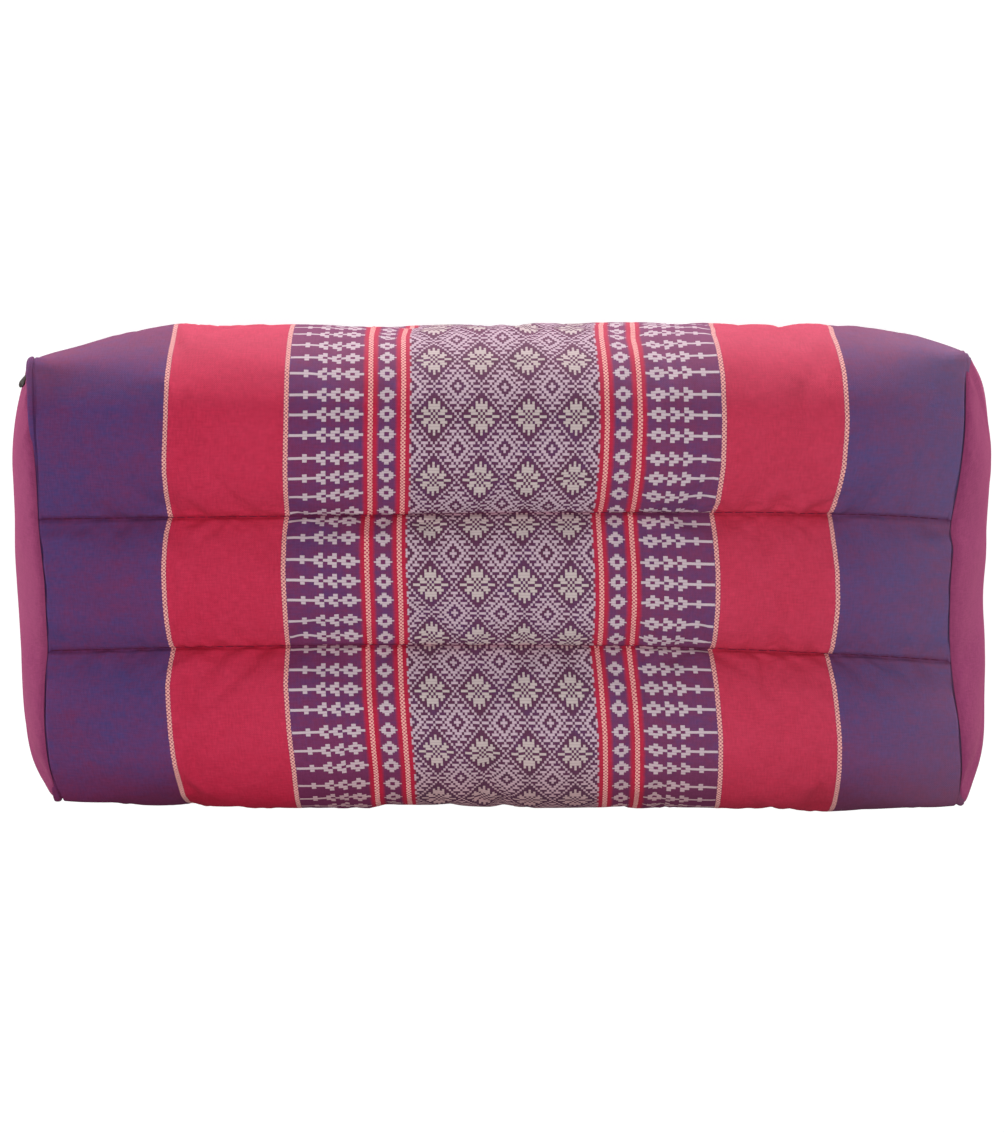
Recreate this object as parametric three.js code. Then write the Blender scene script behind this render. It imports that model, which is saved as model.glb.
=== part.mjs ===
// Channel-quilted block cushion for meditation, lying on its back with its pictured face up.
// Millimetres. X runs along the length, Y across the width, +Z up. The origin is under the middle of
// the cushion, on the surface it rests on.
//
// One strip of cloth wraps the four long sides. Seams along the length hold it in, so the filling swells
// into six channels: two middle ones and four that turn the long corners. A plain panel closes each end.
// Every loop round the cushion is read by `place`, a number from 0 to 6: its whole part names the channel
// and the rest says how far across that channel the point lies.

import * as THREE from 'three';

// ---- Driving dimensions -------------------------------------------------------------------------------

const LENGTH = 346; // between the two end seams, along X
const HEIGHT = 120; // from the resting surface to the top of the upper channels
const SEAM_Y = 25.3; // each long seam of the face, out from the middle
const MIDDLE_RADIUS = 34.4; // roundness of the two middle channels
const RESTING_SINK = 1.6; // how much of each lower channel is pressed flat
const SHOULDER = 55; // length over which the cushion draws in towards an end seam
const DRAW_IN_POWER = 1.6; // how suddenly it does so
const SEAM_PULL = 3; // how much deeper the long seams lie than the cloth beside them, at the ends

// The four corner channels: radius, and how far out from the middle the centre of the round lies.
const UPPER = { radius: 39, centreY: 55 };
const LOWER = { radius: 38, centreY: 46.9 };

// The hem: a folded edge that stands up along the end seams.
const HEM_WIDTH = 2.0;
const HEM_HEIGHT = 1;
const CORNER_NUB = 1; // extra reach of the hem at the four corners of each end

// The end panels.
// How far the filling pushes the middle of a panel out, and how that changes from its -Y to its +Y edge:
// a cubic of the share across, whose four factors start with the even one.
const PANEL_BULGE = { left: 16.3, right: 16.2 };
const PANEL_SWELL = { left: [1, 0.117, -0.058, -0.45], right: [0.957, 0.073, 0.135, -0.224] };
const PANEL_THICKNESS = 1.2;
const PANEL_GAP = 0.75;
const PANEL_EDGE = 0.94; // size of the panel's outline as a share of the end seam's, seen along Z
const CHANNEL_DENT = { share: 0.03, halfWidth: 15 }; // of the bulge, lost where the long seams meet the end

// The pull tab: where its neck and its tip lie, and which way its flat side faces.
const TAB = { width: 2.9, neck: 1.7, thickness: 1 };
const TAB_NECK = new THREE.Vector3(-180.9, 80.2, 102.3);
const TAB_TIP = new THREE.Vector3(-183.6, 72.2, 96.0);
const TAB_FACES = new THREE.Vector3(-1, 0.15, 0.18);

// The end seam, corner by corner and channel by channel: Y and Z of the seam seen from the end, and how
// far out along X it lies at the left and at the right end. `at` is the place round the cushion.
const END_SEAM = [
  { at: 0.0, y: 25.0, z: 107.5, left: 175.9, right: 170.2 },
  { at: 0.08, y: 21.0, z: 108.2, left: 175.5, right: 170.1 },
  { at: 0.2, y: 15.0, z: 109.3, left: 175.0, right: 171.3 },
  { at: 0.5, y: 0.0, z: 110.5, left: 173.7, right: 170.3 },
  { at: 0.8, y: -15.0, z: 109.0, left: 173.6, right: 170.5 },
  { at: 1.0, y: -25.0, z: 106.5, left: 173.6, right: 171.8 },
  { at: 1.1, y: -35.0, z: 107.2, left: 175.0, right: 173.0 },
  { at: 1.3, y: -56.0, z: 108.6, left: 175.6, right: 176.0 },
  { at: 1.45, y: -74.0, z: 106.5, left: 174.6, right: 177.4 },
  { at: 1.57, y: -87.8, z: 103.0, left: 171.0, right: 176.3 },
  { at: 1.8, y: -86.0, z: 82.0, left: 172.6, right: 174.4 },
  { at: 2.0, y: -81.5, z: 60.0, left: 173.0, right: 172.5 },
  { at: 2.2, y: -79.0, z: 37.0, left: 173.8, right: 173.8 },
  { at: 2.43, y: -74.0, z: 15.0, left: 174.2, right: 174.6 },
  { at: 2.7, y: -51.0, z: 10.0, left: 174.2, right: 173.8 },
  { at: 3.0, y: -25.0, z: 12.6, left: 172.6, right: 172.0 },
  { at: 3.5, y: 0.0, z: 8.6, left: 174.0, right: 173.8 },
  { at: 4.0, y: 25.0, z: 12.6, left: 172.6, right: 172.4 },
  { at: 4.3, y: 51.0, z: 10.0, left: 174.2, right: 174.0 },
  { at: 4.57, y: 72.0, z: 15.0, left: 174.4, right: 174.8 },
  { at: 4.8, y: 76.5, z: 37.0, left: 174.2, right: 173.8 },
  { at: 5.0, y: 79.2, z: 60.0, left: 173.6, right: 172.6 },
  { at: 5.2, y: 82.0, z: 82.0, left: 176.0, right: 174.5 },
  { at: 5.43, y: 83.4, z: 104.6, left: 176.6, right: 174.9 },
  { at: 5.7, y: 56.0, z: 109.4, left: 176.0, right: 174.5 },
  { at: 5.85, y: 40.5, z: 108.5, left: 175.9, right: 173.0 },
];

// How far the cushion strays in Y along its length, from the left end (-1) to the right one (1): at the two
// seams of the face and on the rounds of its two long sides.
const STRAY = [
  { along: -1.0, first: -2.3, second: -2.7, low: -0.3, high: -0.1 },
  { along: -0.85, first: -1.5, second: -1.6, low: -0.9, high: -0.1 },
  { along: -0.7, first: -1.0, second: -0.6, low: 0.3, high: -0.1 },
  { along: -0.3, first: -0.2, second: 0.3, low: 0.9, high: -0.1 },
  { along: 0.0, first: 0.6, second: 0.2, low: 0.9, high: -0.1 },
  { along: 0.3, first: 0.8, second: -0.1, low: 0.2, high: -0.1 },
  { along: 0.6, first: 0.7, second: -2.0, low: -0.9, high: 0.2 },
  { along: 0.8, first: -0.4, second: -3.8, low: -2.0, high: 1.4 },
  { along: 0.9, first: -1.7, second: -5.1, low: -2.8, high: 2.3 },
  { along: 1.0, first: -3.2, second: -6.8, low: -2.6, high: 1.6 },
];

// The place where each stray is full, and how far round the cushion it reaches.
const STRAY_PLACES = [
  { column: 'first', at: 0, reach: 0.5 },
  { column: 'second', at: 1, reach: 0.5 },
  { column: 'low', at: 1.75, reach: 0.75 },
  { column: 'high', at: 5.35, reach: 0.9 },
];

// Points round a loop, per channel in turn, and stations along the length.
const MIDDLE_STEPS = 8;
const CORNER_STEPS = 14;
const STATIONS = 25;
const CAP_RINGS = [PANEL_EDGE, 0.9, 0.78, 0.56, 0.28];

// ---- Small helpers ------------------------------------------------------------------------------------

const CHANNELS = 6;
const MIDDLE_CHANNELS = [0, 3];
const SIDE_HALF_HEIGHT = HEIGHT / 2;
const CORNERS = END_SEAM.filter((row) => [1.57, 2.43, 4.57, 5.43].includes(row.at));

const mix = (from, to, share) => from + (to - from) * share;

function smooth(share) {
  return share * share * (3 - 2 * share);
}

/** Reads one column of a table whose rows follow `key`, straight between the rows. */
function readTable(rows, key, column, where) {
  const next = rows.findIndex((row) => row[key] > where);
  if (next === 0) return rows[0][column];
  if (next < 0) return rows[rows.length - 1][column];
  const before = rows[next - 1];
  const after = rows[next];
  return mix(before[column], after[column], (where - before[key]) / (after[key] - before[key]));
}

/** The same table read round and round, so that the last row leads on to the first. */
function readRound(rows, column, place) {
  const closed = [...rows, { ...rows[0], at: rows[0].at + CHANNELS }];
  return readTable(closed, 'at', column, ((place % CHANNELS) + CHANNELS) % CHANNELS);
}

// ---- The filled section, away from the ends -------------------------------------------------------------

/** The circle of each channel: its centre, its radius and the heights of the seams it ends at. */
function channelCircles() {
  const upperZ = HEIGHT - UPPER.radius;
  const lowerZ = LOWER.radius - RESTING_SINK;
  const faceSeamZ = upperZ + Math.sqrt(UPPER.radius ** 2 - (UPPER.centreY - SEAM_Y) ** 2);
  const backSeamZ = lowerZ - Math.sqrt(LOWER.radius ** 2 - (LOWER.centreY - SEAM_Y) ** 2);
  const middleReach = Math.sqrt(MIDDLE_RADIUS ** 2 - SEAM_Y ** 2);
  // The two rounds of a long side cross at the side seam.
  const sideZ = SIDE_HALF_HEIGHT;
  const sideY = UPPER.centreY + Math.sqrt(UPPER.radius ** 2 - (upperZ - sideZ) ** 2);
  const upperMiddle = { y: 0, z: faceSeamZ - middleReach, radius: MIDDLE_RADIUS };
  const lowerMiddle = { y: 0, z: backSeamZ + middleReach, radius: MIDDLE_RADIUS };
  const upper = (side) => ({ y: side * UPPER.centreY, z: upperZ, radius: UPPER.radius });
  const lower = (side) => ({ y: side * LOWER.centreY, z: lowerZ, radius: LOWER.radius });
  const seams = [
    [SEAM_Y, faceSeamZ],
    [-SEAM_Y, faceSeamZ],
    [-sideY, sideZ],
    [-SEAM_Y, backSeamZ],
    [SEAM_Y, backSeamZ],
    [sideY, sideZ],
  ];
  return { circles: [upperMiddle, upper(-1), lower(-1), lowerMiddle, lower(1), upper(1)], seams };
}

const SECTION = channelCircles();

/** Y and Z of the full section at a place: the arc of that channel's circle, from seam to seam. */
function sectionPoint(place) {
  const wrapped = ((place % CHANNELS) + CHANNELS) % CHANNELS;
  const channel = Math.floor(wrapped);
  const share = wrapped - channel;
  const circle = SECTION.circles[channel];
  const from = SECTION.seams[channel];
  const to = SECTION.seams[(channel + 1) % CHANNELS];
  const start = Math.atan2(from[1] - circle.z, from[0] - circle.y);
  let turn = Math.atan2(to[1] - circle.z, to[0] - circle.y) - start;
  if (turn < 0) turn += 2 * Math.PI;
  // Each end of the arc is moved on to its seam, because two circles rarely meet there exactly.
  const radiusAt = (seam) => Math.hypot(seam[0] - circle.y, seam[1] - circle.z);
  const radius = circle.radius + (1 - share) ** 4 * (radiusAt(from) - circle.radius)
    + share ** 4 * (radiusAt(to) - circle.radius);
  const angle = start + turn * share;
  return [circle.y + radius * Math.cos(angle), circle.z + radius * Math.sin(angle)];
}

// ---- The long surface ----------------------------------------------------------------------------------

/** The stray in Y at a place: each column of the table, fading out on both sides of its own place. */
function strayAt(along, place) {
  return STRAY_PLACES.reduce((total, { column, at, reach }) => {
    const apart = Math.abs(((place - at + 9) % CHANNELS) - 3);
    const share = apart < reach ? smooth(1 - apart / reach) : 0;
    return total + readTable(STRAY, 'along', column, along) * share;
  }, 0);
}

/** A point of the wrap: `along` runs from -1 at the left end seam to 1 at the right one. */
function wrapPoint(along, place) {
  const end = along < 0 ? 'left' : 'right';
  const seamX = readRound(END_SEAM, end, place);
  const fromSeam = (1 - Math.abs(along)) * (LENGTH / 2);
  const near = Math.max(0, 1 - fromSeam / SHOULDER) ** DRAW_IN_POWER;
  const [fullY, fullZ] = sectionPoint(place);
  const pull = SEAM_PULL * near * Math.exp(-Math.abs(place - Math.round(place)) / 0.1);
  const [outY, outZ] = outlineNormal(place);
  const y = mix(fullY, readRound(END_SEAM, 'y', place), near) - pull * outY;
  const z = mix(fullZ, readRound(END_SEAM, 'z', place), near) - pull * outZ;
  return new THREE.Vector3(along * seamX, y + strayAt(along, place), Math.max(0, z));
}

/** The outward direction of the end seam's outline, level with the end. */
function outlineNormal(place) {
  const step = 0.06;
  const ahead = [readRound(END_SEAM, 'y', place + step), readRound(END_SEAM, 'z', place + step)];
  const behind = [readRound(END_SEAM, 'y', place - step), readRound(END_SEAM, 'z', place - step)];
  const length = Math.hypot(ahead[0] - behind[0], ahead[1] - behind[1]);
  return [(ahead[1] - behind[1]) / length, -(ahead[0] - behind[0]) / length];
}

/** A loop of the hem, `out` from the end seam's outline and `on` further out along X. */
function hemPoint(side, place, out, on) {
  const end = side < 0 ? 'left' : 'right';
  const [ny, nz] = outlineNormal(place);
  const apart = Math.min(...CORNERS.map((corner) => Math.abs(corner.at - place)));
  const nub = out > 0 ? CORNER_NUB * Math.exp(-((apart / 0.03) ** 2)) : 0;
  const x = side * (readRound(END_SEAM, end, place) + on);
  const y = readRound(END_SEAM, 'y', place) + strayAt(side, place) + ny * (out + nub);
  const z = readRound(END_SEAM, 'z', place) + nz * (out + nub);
  return new THREE.Vector3(x, y, z);
}

// ---- The ends ------------------------------------------------------------------------------------------

const END_CENTRE = { y: 0, z: SIDE_HALF_HEIGHT };
const END_HALF = { y: 84, z: 47 };

/** The filling's end: `ring` is 1 at the end seam and 0 in the middle. Flat-topped, and lowest at the seams. */
function endPoint(side, ring, place) {
  const end = side < 0 ? 'left' : 'right';
  const seamY = readRound(END_SEAM, 'y', place) + strayAt(side, place) - END_CENTRE.y;
  const seamZ = readRound(END_SEAM, 'z', place) - END_CENTRE.z;
  const reach = Math.max(Math.abs(seamY) / END_HALF.y, Math.abs(seamZ) / END_HALF.z);
  // Rings keep the same distance from the seam on all four edges, and close in on the middle together.
  const wide = ring * (1 + (1 - END_HALF.z / END_HALF.y) * (1 - ring));
  const across = (wide * seamY) / END_HALF.y / reach;
  const upright = (ring * seamZ) / END_HALF.z / reach;
  // Away from the seam the rings ease from its scalloped outline to a plain rectangle.
  const y = END_CENTRE.y + mix(END_HALF.y * across, wide * seamY, ring ** 2);
  const z = END_CENTRE.z + mix(END_HALF.z * upright, ring * seamZ, ring ** 2);
  const dome = (1 - Math.min(1, Math.abs(across)) ** 6) ** 0.7 * (1 - Math.min(1, Math.abs(upright)) ** 2) ** 0.7;
  const swell = PANEL_SWELL[end].reduce((sum, factor, power) => sum + factor * across ** power, 0);
  const dents = Math.exp(-(((Math.abs(y) - SEAM_Y) / CHANNEL_DENT.halfWidth) ** 2));
  const seamX = mix(LENGTH / 2, readRound(END_SEAM, end, place), ring * ring);
  const fill = (PANEL_BULGE[end] - HEM_WIDTH / 2 - PANEL_GAP - PANEL_THICKNESS) * swell;
  const x = seamX + HEM_WIDTH / 2 + fill * dome * (1 - CHANNEL_DENT.share * dents);
  return new THREE.Vector3(side * x, y, z);
}

/** A point above the filling's end, moved `out` along its outward direction. */
function aboveEnd(side, ring, place, out) {
  const point = endPoint(side, ring, place);
  if (ring === 0) return point.add(new THREE.Vector3(side * out, 0, 0));
  const step = 0.02;
  const radial = endPoint(side, Math.min(1, ring + step), place).sub(endPoint(side, ring - step, place));
  const around = endPoint(side, ring, place + step).sub(endPoint(side, ring, place - step));
  const normal = radial.cross(around).normalize();
  if (normal.x * side < 0) normal.negate();
  return point.addScaledVector(normal, out);
}

// ---- Meshes --------------------------------------------------------------------------------------------

/** The places round a loop, with one at every seam and at every corner of the end seam. */
function placesRound() {
  const places = [];
  for (let channel = 0; channel < CHANNELS; channel += 1) {
    const corner = CORNERS.find((row) => Math.floor(row.at) === channel);
    const steps = MIDDLE_CHANNELS.includes(channel) ? MIDDLE_STEPS : CORNER_STEPS;
    const half = steps / 2;
    for (let step = 0; step < steps; step += 1) {
      const cornerShare = corner ? corner.at - channel : 0.5;
      const share = step < half
        ? (step / half) * cornerShare
        : mix(cornerShare, 1, (step - half) / half);
      places.push(channel + share);
    }
  }
  return places;
}

const PLACES = placesRound();

/** Joins rings of points into one closed skin, with a fan to a pole at each end. Faces point outwards. */
function closedSkin(firstPole, rings, lastPole) {
  const around = rings[0].length;
  const points = [firstPole, ...rings.flat(), lastPole];
  const index = [];
  const at = (ring, column) => 1 + ring * around + (column % around);
  for (let column = 0; column < around; column += 1) {
    index.push(0, at(0, column + 1), at(0, column));
    index.push(points.length - 1, at(rings.length - 1, column), at(rings.length - 1, column + 1));
  }
  for (let ring = 0; ring < rings.length - 1; ring += 1) {
    for (let column = 0; column < around; column += 1) {
      index.push(at(ring, column), at(ring + 1, column + 1), at(ring + 1, column));
      index.push(at(ring, column), at(ring, column + 1), at(ring + 1, column + 1));
    }
  }
  const geometry = new THREE.BufferGeometry();
  geometry.setAttribute('position', new THREE.Float32BufferAttribute(points.flatMap((p) => p.toArray()), 3));
  geometry.setIndex(index);
  geometry.computeVertexNormals();
  return geometry;
}

/** Stations along the length, closer together at the shoulders. */
function stations() {
  return Array.from({ length: STATIONS }, (_, i) => {
    const even = -1 + (2 * i) / (STATIONS - 1);
    return Math.sign(even) * (1 - (1 - Math.abs(even)) ** 1.35);
  });
}

function bodyGeometry() {
  const loop = (pointAt) => PLACES.map(pointAt);
  const hem = (side) => [
    loop((place) => hemPoint(side, place, HEM_HEIGHT, -HEM_WIDTH / 2)),
    loop((place) => hemPoint(side, place, HEM_HEIGHT, HEM_WIDTH / 2)),
    loop((place) => hemPoint(side, place, 0, HEM_WIDTH / 2)),
  ];
  const cap = (side) => CAP_RINGS.map((ring) => loop((place) => endPoint(side, ring, place)));
  // The wrap stops short of each end seam, in the groove beside the hem.
  const groove = 1 - (2 * HEM_WIDTH) / LENGTH;
  const wrap = stations().map((along) => loop((place) => wrapPoint(along * groove, place)));
  const rings = [
    ...cap(-1).reverse(),
    ...hem(-1).reverse(),
    ...wrap,
    ...hem(1),
    ...cap(1),
  ];
  return closedSkin(endPoint(-1, 0, 0), rings, endPoint(1, 0, 0));
}

function endPanelGeometry(side) {
  const skin = (out) => CAP_RINGS.map((ring) => PLACES.map((place) => aboveEnd(side, ring, place, out)));
  const inner = skin(PANEL_GAP);
  const outer = skin(PANEL_GAP + PANEL_THICKNESS);
  const innerPole = aboveEnd(side, 0, 0, PANEL_GAP);
  const outerPole = aboveEnd(side, 0, 0, PANEL_GAP + PANEL_THICKNESS);
  if (side > 0) return closedSkin(innerPole, [...inner.reverse(), ...outer], outerPole);
  return closedSkin(outerPole, [...outer.reverse(), ...inner], innerPole);
}

/** A flat tab with a narrow neck and a wider rounded tip, lying in its own XY plane with the tip towards -Y. */
function tabGeometry() {
  const half = TAB.width / 2;
  const length = TAB_NECK.distanceTo(TAB_TIP);
  const outline = new THREE.Shape();
  outline.moveTo(-TAB.neck / 2, 0);
  outline.lineTo(-half, half - length);
  outline.absarc(0, half - length, half, Math.PI, 2 * Math.PI, false);
  outline.lineTo(TAB.neck / 2, 0);
  const options = { depth: TAB.thickness, bevelEnabled: false, curveSegments: 10 };
  return new THREE.ExtrudeGeometry(outline, options).translate(0, 0, -TAB.thickness / 2);
}

// ---- The object ----------------------------------------------------------------------------------------

function cloth(colour, roughness) {
  return new THREE.MeshStandardMaterial({ color: colour, roughness, metalness: 0 });
}

function addPiece(group, name, geometry, material) {
  const mesh = new THREE.Mesh(geometry, material);
  mesh.name = name;
  group.add(mesh);
  return mesh;
}

const cushion = new THREE.Group();
addPiece(cushion, 'cushion_body', bodyGeometry(), cloth(0x8c3f6b, 0.8));
addPiece(cushion, 'end_panel_left', endPanelGeometry(-1), cloth(0x9c4674, 0.85));
addPiece(cushion, 'end_panel_right', endPanelGeometry(1), cloth(0x9c4674, 0.85));

const tabMetal = new THREE.MeshStandardMaterial({ color: 0x3b2a26, roughness: 0.45, metalness: 0.8 });
const tab = addPiece(cushion, 'zip_pull', tabGeometry(), tabMetal);
const alongTab = TAB_NECK.clone().sub(TAB_TIP).normalize();
const acrossTab = alongTab.clone().cross(TAB_FACES).normalize();
const offTab = acrossTab.clone().cross(alongTab);
tab.quaternion.setFromRotationMatrix(new THREE.Matrix4().makeBasis(acrossTab, alongTab, offTab));
tab.position.copy(TAB_NECK);

export default cushion;
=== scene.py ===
# %% [markdown]
# # A block meditation cushion in banded brocade cloth
#
# This is a firm cushion of the kapok-block kind. One patterned strip of cloth is wrapped round the four
# long sides and sewn along its length, so the filling swells into six channels. A plain magenta panel is
# sewn into each end, inside the wrap's folded hem, and the tip of a zip's pull pokes out at one corner.
#
# The cushion lies on its back, with X along its length, Y across it and Z up out of the patterned face.
# Shapes are worked out in millimetres, because that is how cloth is cut, and turned into metres as each
# mesh is made. The first step loads the fixed frame that every piece has to fit.

import bpy
import numpy as np
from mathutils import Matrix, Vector


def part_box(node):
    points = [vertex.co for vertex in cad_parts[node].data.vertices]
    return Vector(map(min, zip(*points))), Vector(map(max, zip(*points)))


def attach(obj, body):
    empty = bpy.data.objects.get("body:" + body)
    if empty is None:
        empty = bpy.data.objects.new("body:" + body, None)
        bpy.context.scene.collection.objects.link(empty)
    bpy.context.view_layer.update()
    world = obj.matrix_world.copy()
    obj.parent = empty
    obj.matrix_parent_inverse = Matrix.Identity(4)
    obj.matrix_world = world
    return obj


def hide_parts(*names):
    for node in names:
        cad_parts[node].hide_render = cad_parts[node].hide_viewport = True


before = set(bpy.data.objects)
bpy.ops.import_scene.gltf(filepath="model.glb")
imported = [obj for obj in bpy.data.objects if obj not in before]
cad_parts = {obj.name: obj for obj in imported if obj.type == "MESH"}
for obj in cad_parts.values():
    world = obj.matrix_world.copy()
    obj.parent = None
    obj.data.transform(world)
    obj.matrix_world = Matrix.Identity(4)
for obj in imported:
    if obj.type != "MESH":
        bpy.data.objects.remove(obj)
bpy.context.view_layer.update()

_, wrap_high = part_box("cushion_body")

# %% [markdown]
# ## Sizes of the cushion
#
# A sewn cushion is described by where its seams lie and how far the filling pushes the cloth out between
# them. The long seams of the face lie a little over 25 mm either side of the middle. Between two seams the
# cloth is a part of a circle, because a filled tube always rounds out to one. The four corner channels
# have the larger circles, and each of them turns a long corner of the block.

# %% Sizes in millimetres
MM = 0.001
HEIGHT = round(wrap_high.z / MM)
LENGTH = 346.0  # between the two end seams
SEAM_Y = 25.3  # the long seams of the face and of the back, out from the middle
MIDDLE_RADIUS = 34.4
UPPER_RADIUS, UPPER_Y = 39.0, 55.0  # the rounds of the two upper corner channels
LOWER_RADIUS, LOWER_Y = 38.0, 46.9
RESTING_SINK = 1.6  # the lower channels are pressed flat by this much
SHOULDER = 55.0  # the cushion draws in over this length at each end
DRAW_IN_POWER = 1.6
SEAM_PULL = 3.0  # the long seams lie this much deeper than the cloth beside them at the ends
CHANNELS = 6
ROUND_MM = 80.0  # about how much cloth there is to a channel, for unevenness that runs round the cushion
print("height", HEIGHT, "mm, length between the end seams", LENGTH, "mm")

# %% [markdown]
# ## The end seam
#
# Each end of the wrap is a closed loop. Every loop round the cushion is read by `place`, a number from 0
# to 6: its whole part names the channel and the rest says how far across that channel the point lies.
# Place 0 is the seam of the face on the +Y side, and places 2 and 5 are the seams half-way up the sides.
# The table gives the loop's Y and Z, and how far out along X it lies at the left and at the right end.

# %% The end seam's table
END_SEAM = np.array(
    [
        # place, y, z, left, right
        (0.0, 25.0, 107.5, 175.9, 170.2),
        (0.08, 21.0, 108.2, 175.5, 170.1),
        (0.2, 15.0, 109.3, 175.0, 171.3),
        (0.5, 0.0, 110.5, 173.7, 170.3),
        (0.8, -15.0, 109.0, 173.6, 170.5),
        (1.0, -25.0, 106.5, 173.6, 171.8),
        (1.1, -35.0, 107.2, 175.0, 173.0),
        (1.3, -56.0, 108.6, 175.6, 176.0),
        (1.45, -74.0, 106.5, 174.6, 177.4),
        (1.57, -87.8, 103.0, 169.8, 176.3),
        (1.8, -86.0, 82.0, 172.6, 174.4),
        (2.0, -81.5, 60.0, 173.0, 172.5),
        (2.2, -79.0, 37.0, 173.8, 173.8),
        (2.43, -74.0, 15.0, 174.2, 174.6),
        (2.7, -51.0, 10.0, 174.2, 173.8),
        (3.0, -25.0, 12.6, 172.6, 172.0),
        (3.5, 0.0, 8.6, 174.0, 173.8),
        (4.0, 25.0, 12.6, 172.6, 172.4),
        (4.3, 51.0, 10.0, 174.2, 174.0),
        (4.57, 72.0, 15.0, 174.4, 174.8),
        (4.8, 76.5, 37.0, 174.2, 173.8),
        (5.0, 79.2, 60.0, 173.6, 172.6),
        (5.2, 82.0, 82.0, 176.0, 174.5),
        (5.43, 83.4, 104.6, 176.6, 174.9),
        (5.7, 56.0, 109.4, 176.0, 174.5),
        (5.85, 40.5, 108.5, 175.9, 173.0),
    ]
)
END_CORNERS = (1.57, 2.43, 4.57, 5.43)
LOOP = 1440  # samples of the smoothed loop


def smooth_round(values, width):
    """Running average round a loop: each sample becomes the bell-weighted mean of its neighbours."""
    reach = np.arange(LOOP) - LOOP // 2
    weights = np.exp(-0.5 * (reach / (width * LOOP / CHANNELS)) ** 2)
    weights = np.roll(weights / weights.sum(), LOOP // 2)
    return np.real(np.fft.ifft(np.fft.fft(values) * np.fft.fft(weights)))


def end_loop():
    """The table's columns read round the loop and softened, as cloth softens the corners of a cut."""
    place = np.arange(LOOP) * CHANNELS / LOOP
    at = np.append(END_SEAM[:, 0], CHANNELS)
    closed = np.vstack([END_SEAM, END_SEAM[:1]])
    widths = {"y": (1, 0.03), "z": (2, 0.03), "left": (3, 0.035), "right": (4, 0.035)}
    return {
        name: smooth_round(np.interp(place, at, closed[:, column]), width)
        for name, (column, width) in widths.items()
    }


END_LOOP = end_loop()


def end_seam(name, place):
    """One column of the smoothed end loop, read at any place round it."""
    where = np.mod(place, CHANNELS) * LOOP / CHANNELS
    return np.interp(where, np.arange(LOOP + 1), np.append(END_LOOP[name], END_LOOP[name][0]))


print("end loop:", LOOP, "samples, widest", round(float(END_LOOP["y"].max()), 1), "mm from the middle")

# %% [markdown]
# ## The filled section
#
# Away from the ends, a cut across the cushion shows six arcs that meet at the seams. The section is worked
# out for whole arrays of places at once: numpy picks each point's circle, and turns the share of the
# channel into an angle on it.

# %% The section


def section_circles():
    """Centre and radius of each channel's circle, and the seam where each channel starts."""
    upper_z = HEIGHT - UPPER_RADIUS
    lower_z = LOWER_RADIUS - RESTING_SINK
    face_z = upper_z + np.sqrt(UPPER_RADIUS**2 - (UPPER_Y - SEAM_Y) ** 2)
    back_z = lower_z - np.sqrt(LOWER_RADIUS**2 - (LOWER_Y - SEAM_Y) ** 2)
    middle = np.sqrt(MIDDLE_RADIUS**2 - SEAM_Y**2)
    side_z = HEIGHT / 2
    side_y = UPPER_Y + np.sqrt(UPPER_RADIUS**2 - (upper_z - side_z) ** 2)
    circles = [
        (0.0, face_z - middle, MIDDLE_RADIUS),
        (-UPPER_Y, upper_z, UPPER_RADIUS),
        (-LOWER_Y, lower_z, LOWER_RADIUS),
        (0.0, back_z + middle, MIDDLE_RADIUS),
        (LOWER_Y, lower_z, LOWER_RADIUS),
        (UPPER_Y, upper_z, UPPER_RADIUS),
    ]
    seams = [
        (SEAM_Y, face_z),
        (-SEAM_Y, face_z),
        (-side_y, side_z),
        (-SEAM_Y, back_z),
        (SEAM_Y, back_z),
        (side_y, side_z),
    ]
    return np.array(circles), np.array(seams)


CIRCLES, SEAMS = section_circles()


def section(place):
    """Y and Z of the full section: the arc of the channel's circle from its first seam to its second."""
    place = np.mod(place, CHANNELS)
    channel = np.floor(place).astype(int) % CHANNELS
    share = place - np.floor(place)
    cy, cz, radius = np.moveaxis(CIRCLES[channel], -1, 0)
    first = np.moveaxis(SEAMS[channel], -1, 0) - (cy, cz)
    second = np.moveaxis(SEAMS[(channel + 1) % CHANNELS], -1, 0) - (cy, cz)
    start = np.arctan2(first[1], first[0])
    turn = np.mod(np.arctan2(second[1], second[0]) - start, 2 * np.pi)
    # Both ends of the arc are eased on to their seams, because two circles rarely meet there exactly.
    radius = (
        radius
        + (1 - share) ** 4 * (np.hypot(*first) - radius)
        + share**4 * (np.hypot(*second) - radius)
    )
    angle = start + turn * share
    return cy + radius * np.cos(angle), cz + radius * np.sin(angle)


print("seams of the section:", np.round(SEAMS, 1).tolist())

# %% [markdown]
# ## The wrap's long surface
#
# The wrap runs from end seam to end seam. Along most of its length it is the full section. Near an end it
# draws in to the end seam's loop, slowly at first and then quickly, as a cushion's shoulders do. The long
# seams are never dead straight, so a second small table lets the two on the face stray sideways.

# %% The long surface
STRAY = np.array(
    [
        # along, face seam at place 0, face seam at place 1, -Y side, +Y side
        (-1.0, -2.3, -2.7, -0.3, -0.1),
        (-0.85, -1.5, -1.6, -0.9, -0.6),
        (-0.7, -1.0, -0.6, 0.3, -0.7),
        (-0.3, -0.2, 0.3, 0.9, -0.8),
        (0.0, 0.6, 0.2, 0.9, -0.4),
        (0.3, 0.8, -0.1, 0.2, -0.2),
        (0.6, 0.7, -2.0, -0.9, 0.0),
        (0.8, -0.4, -3.8, -2.0, 1.3),
        (0.9, -1.7, -5.1, -2.8, 3.1),
        (1.0, -3.2, -6.8, -2.6, 2.4),
    ]
)
STRAY_PLACES = ((0.0, 0.5), (1.0, 0.5), (1.75, 0.75), (5.35, 0.9))  # where each is full, and its reach


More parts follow.
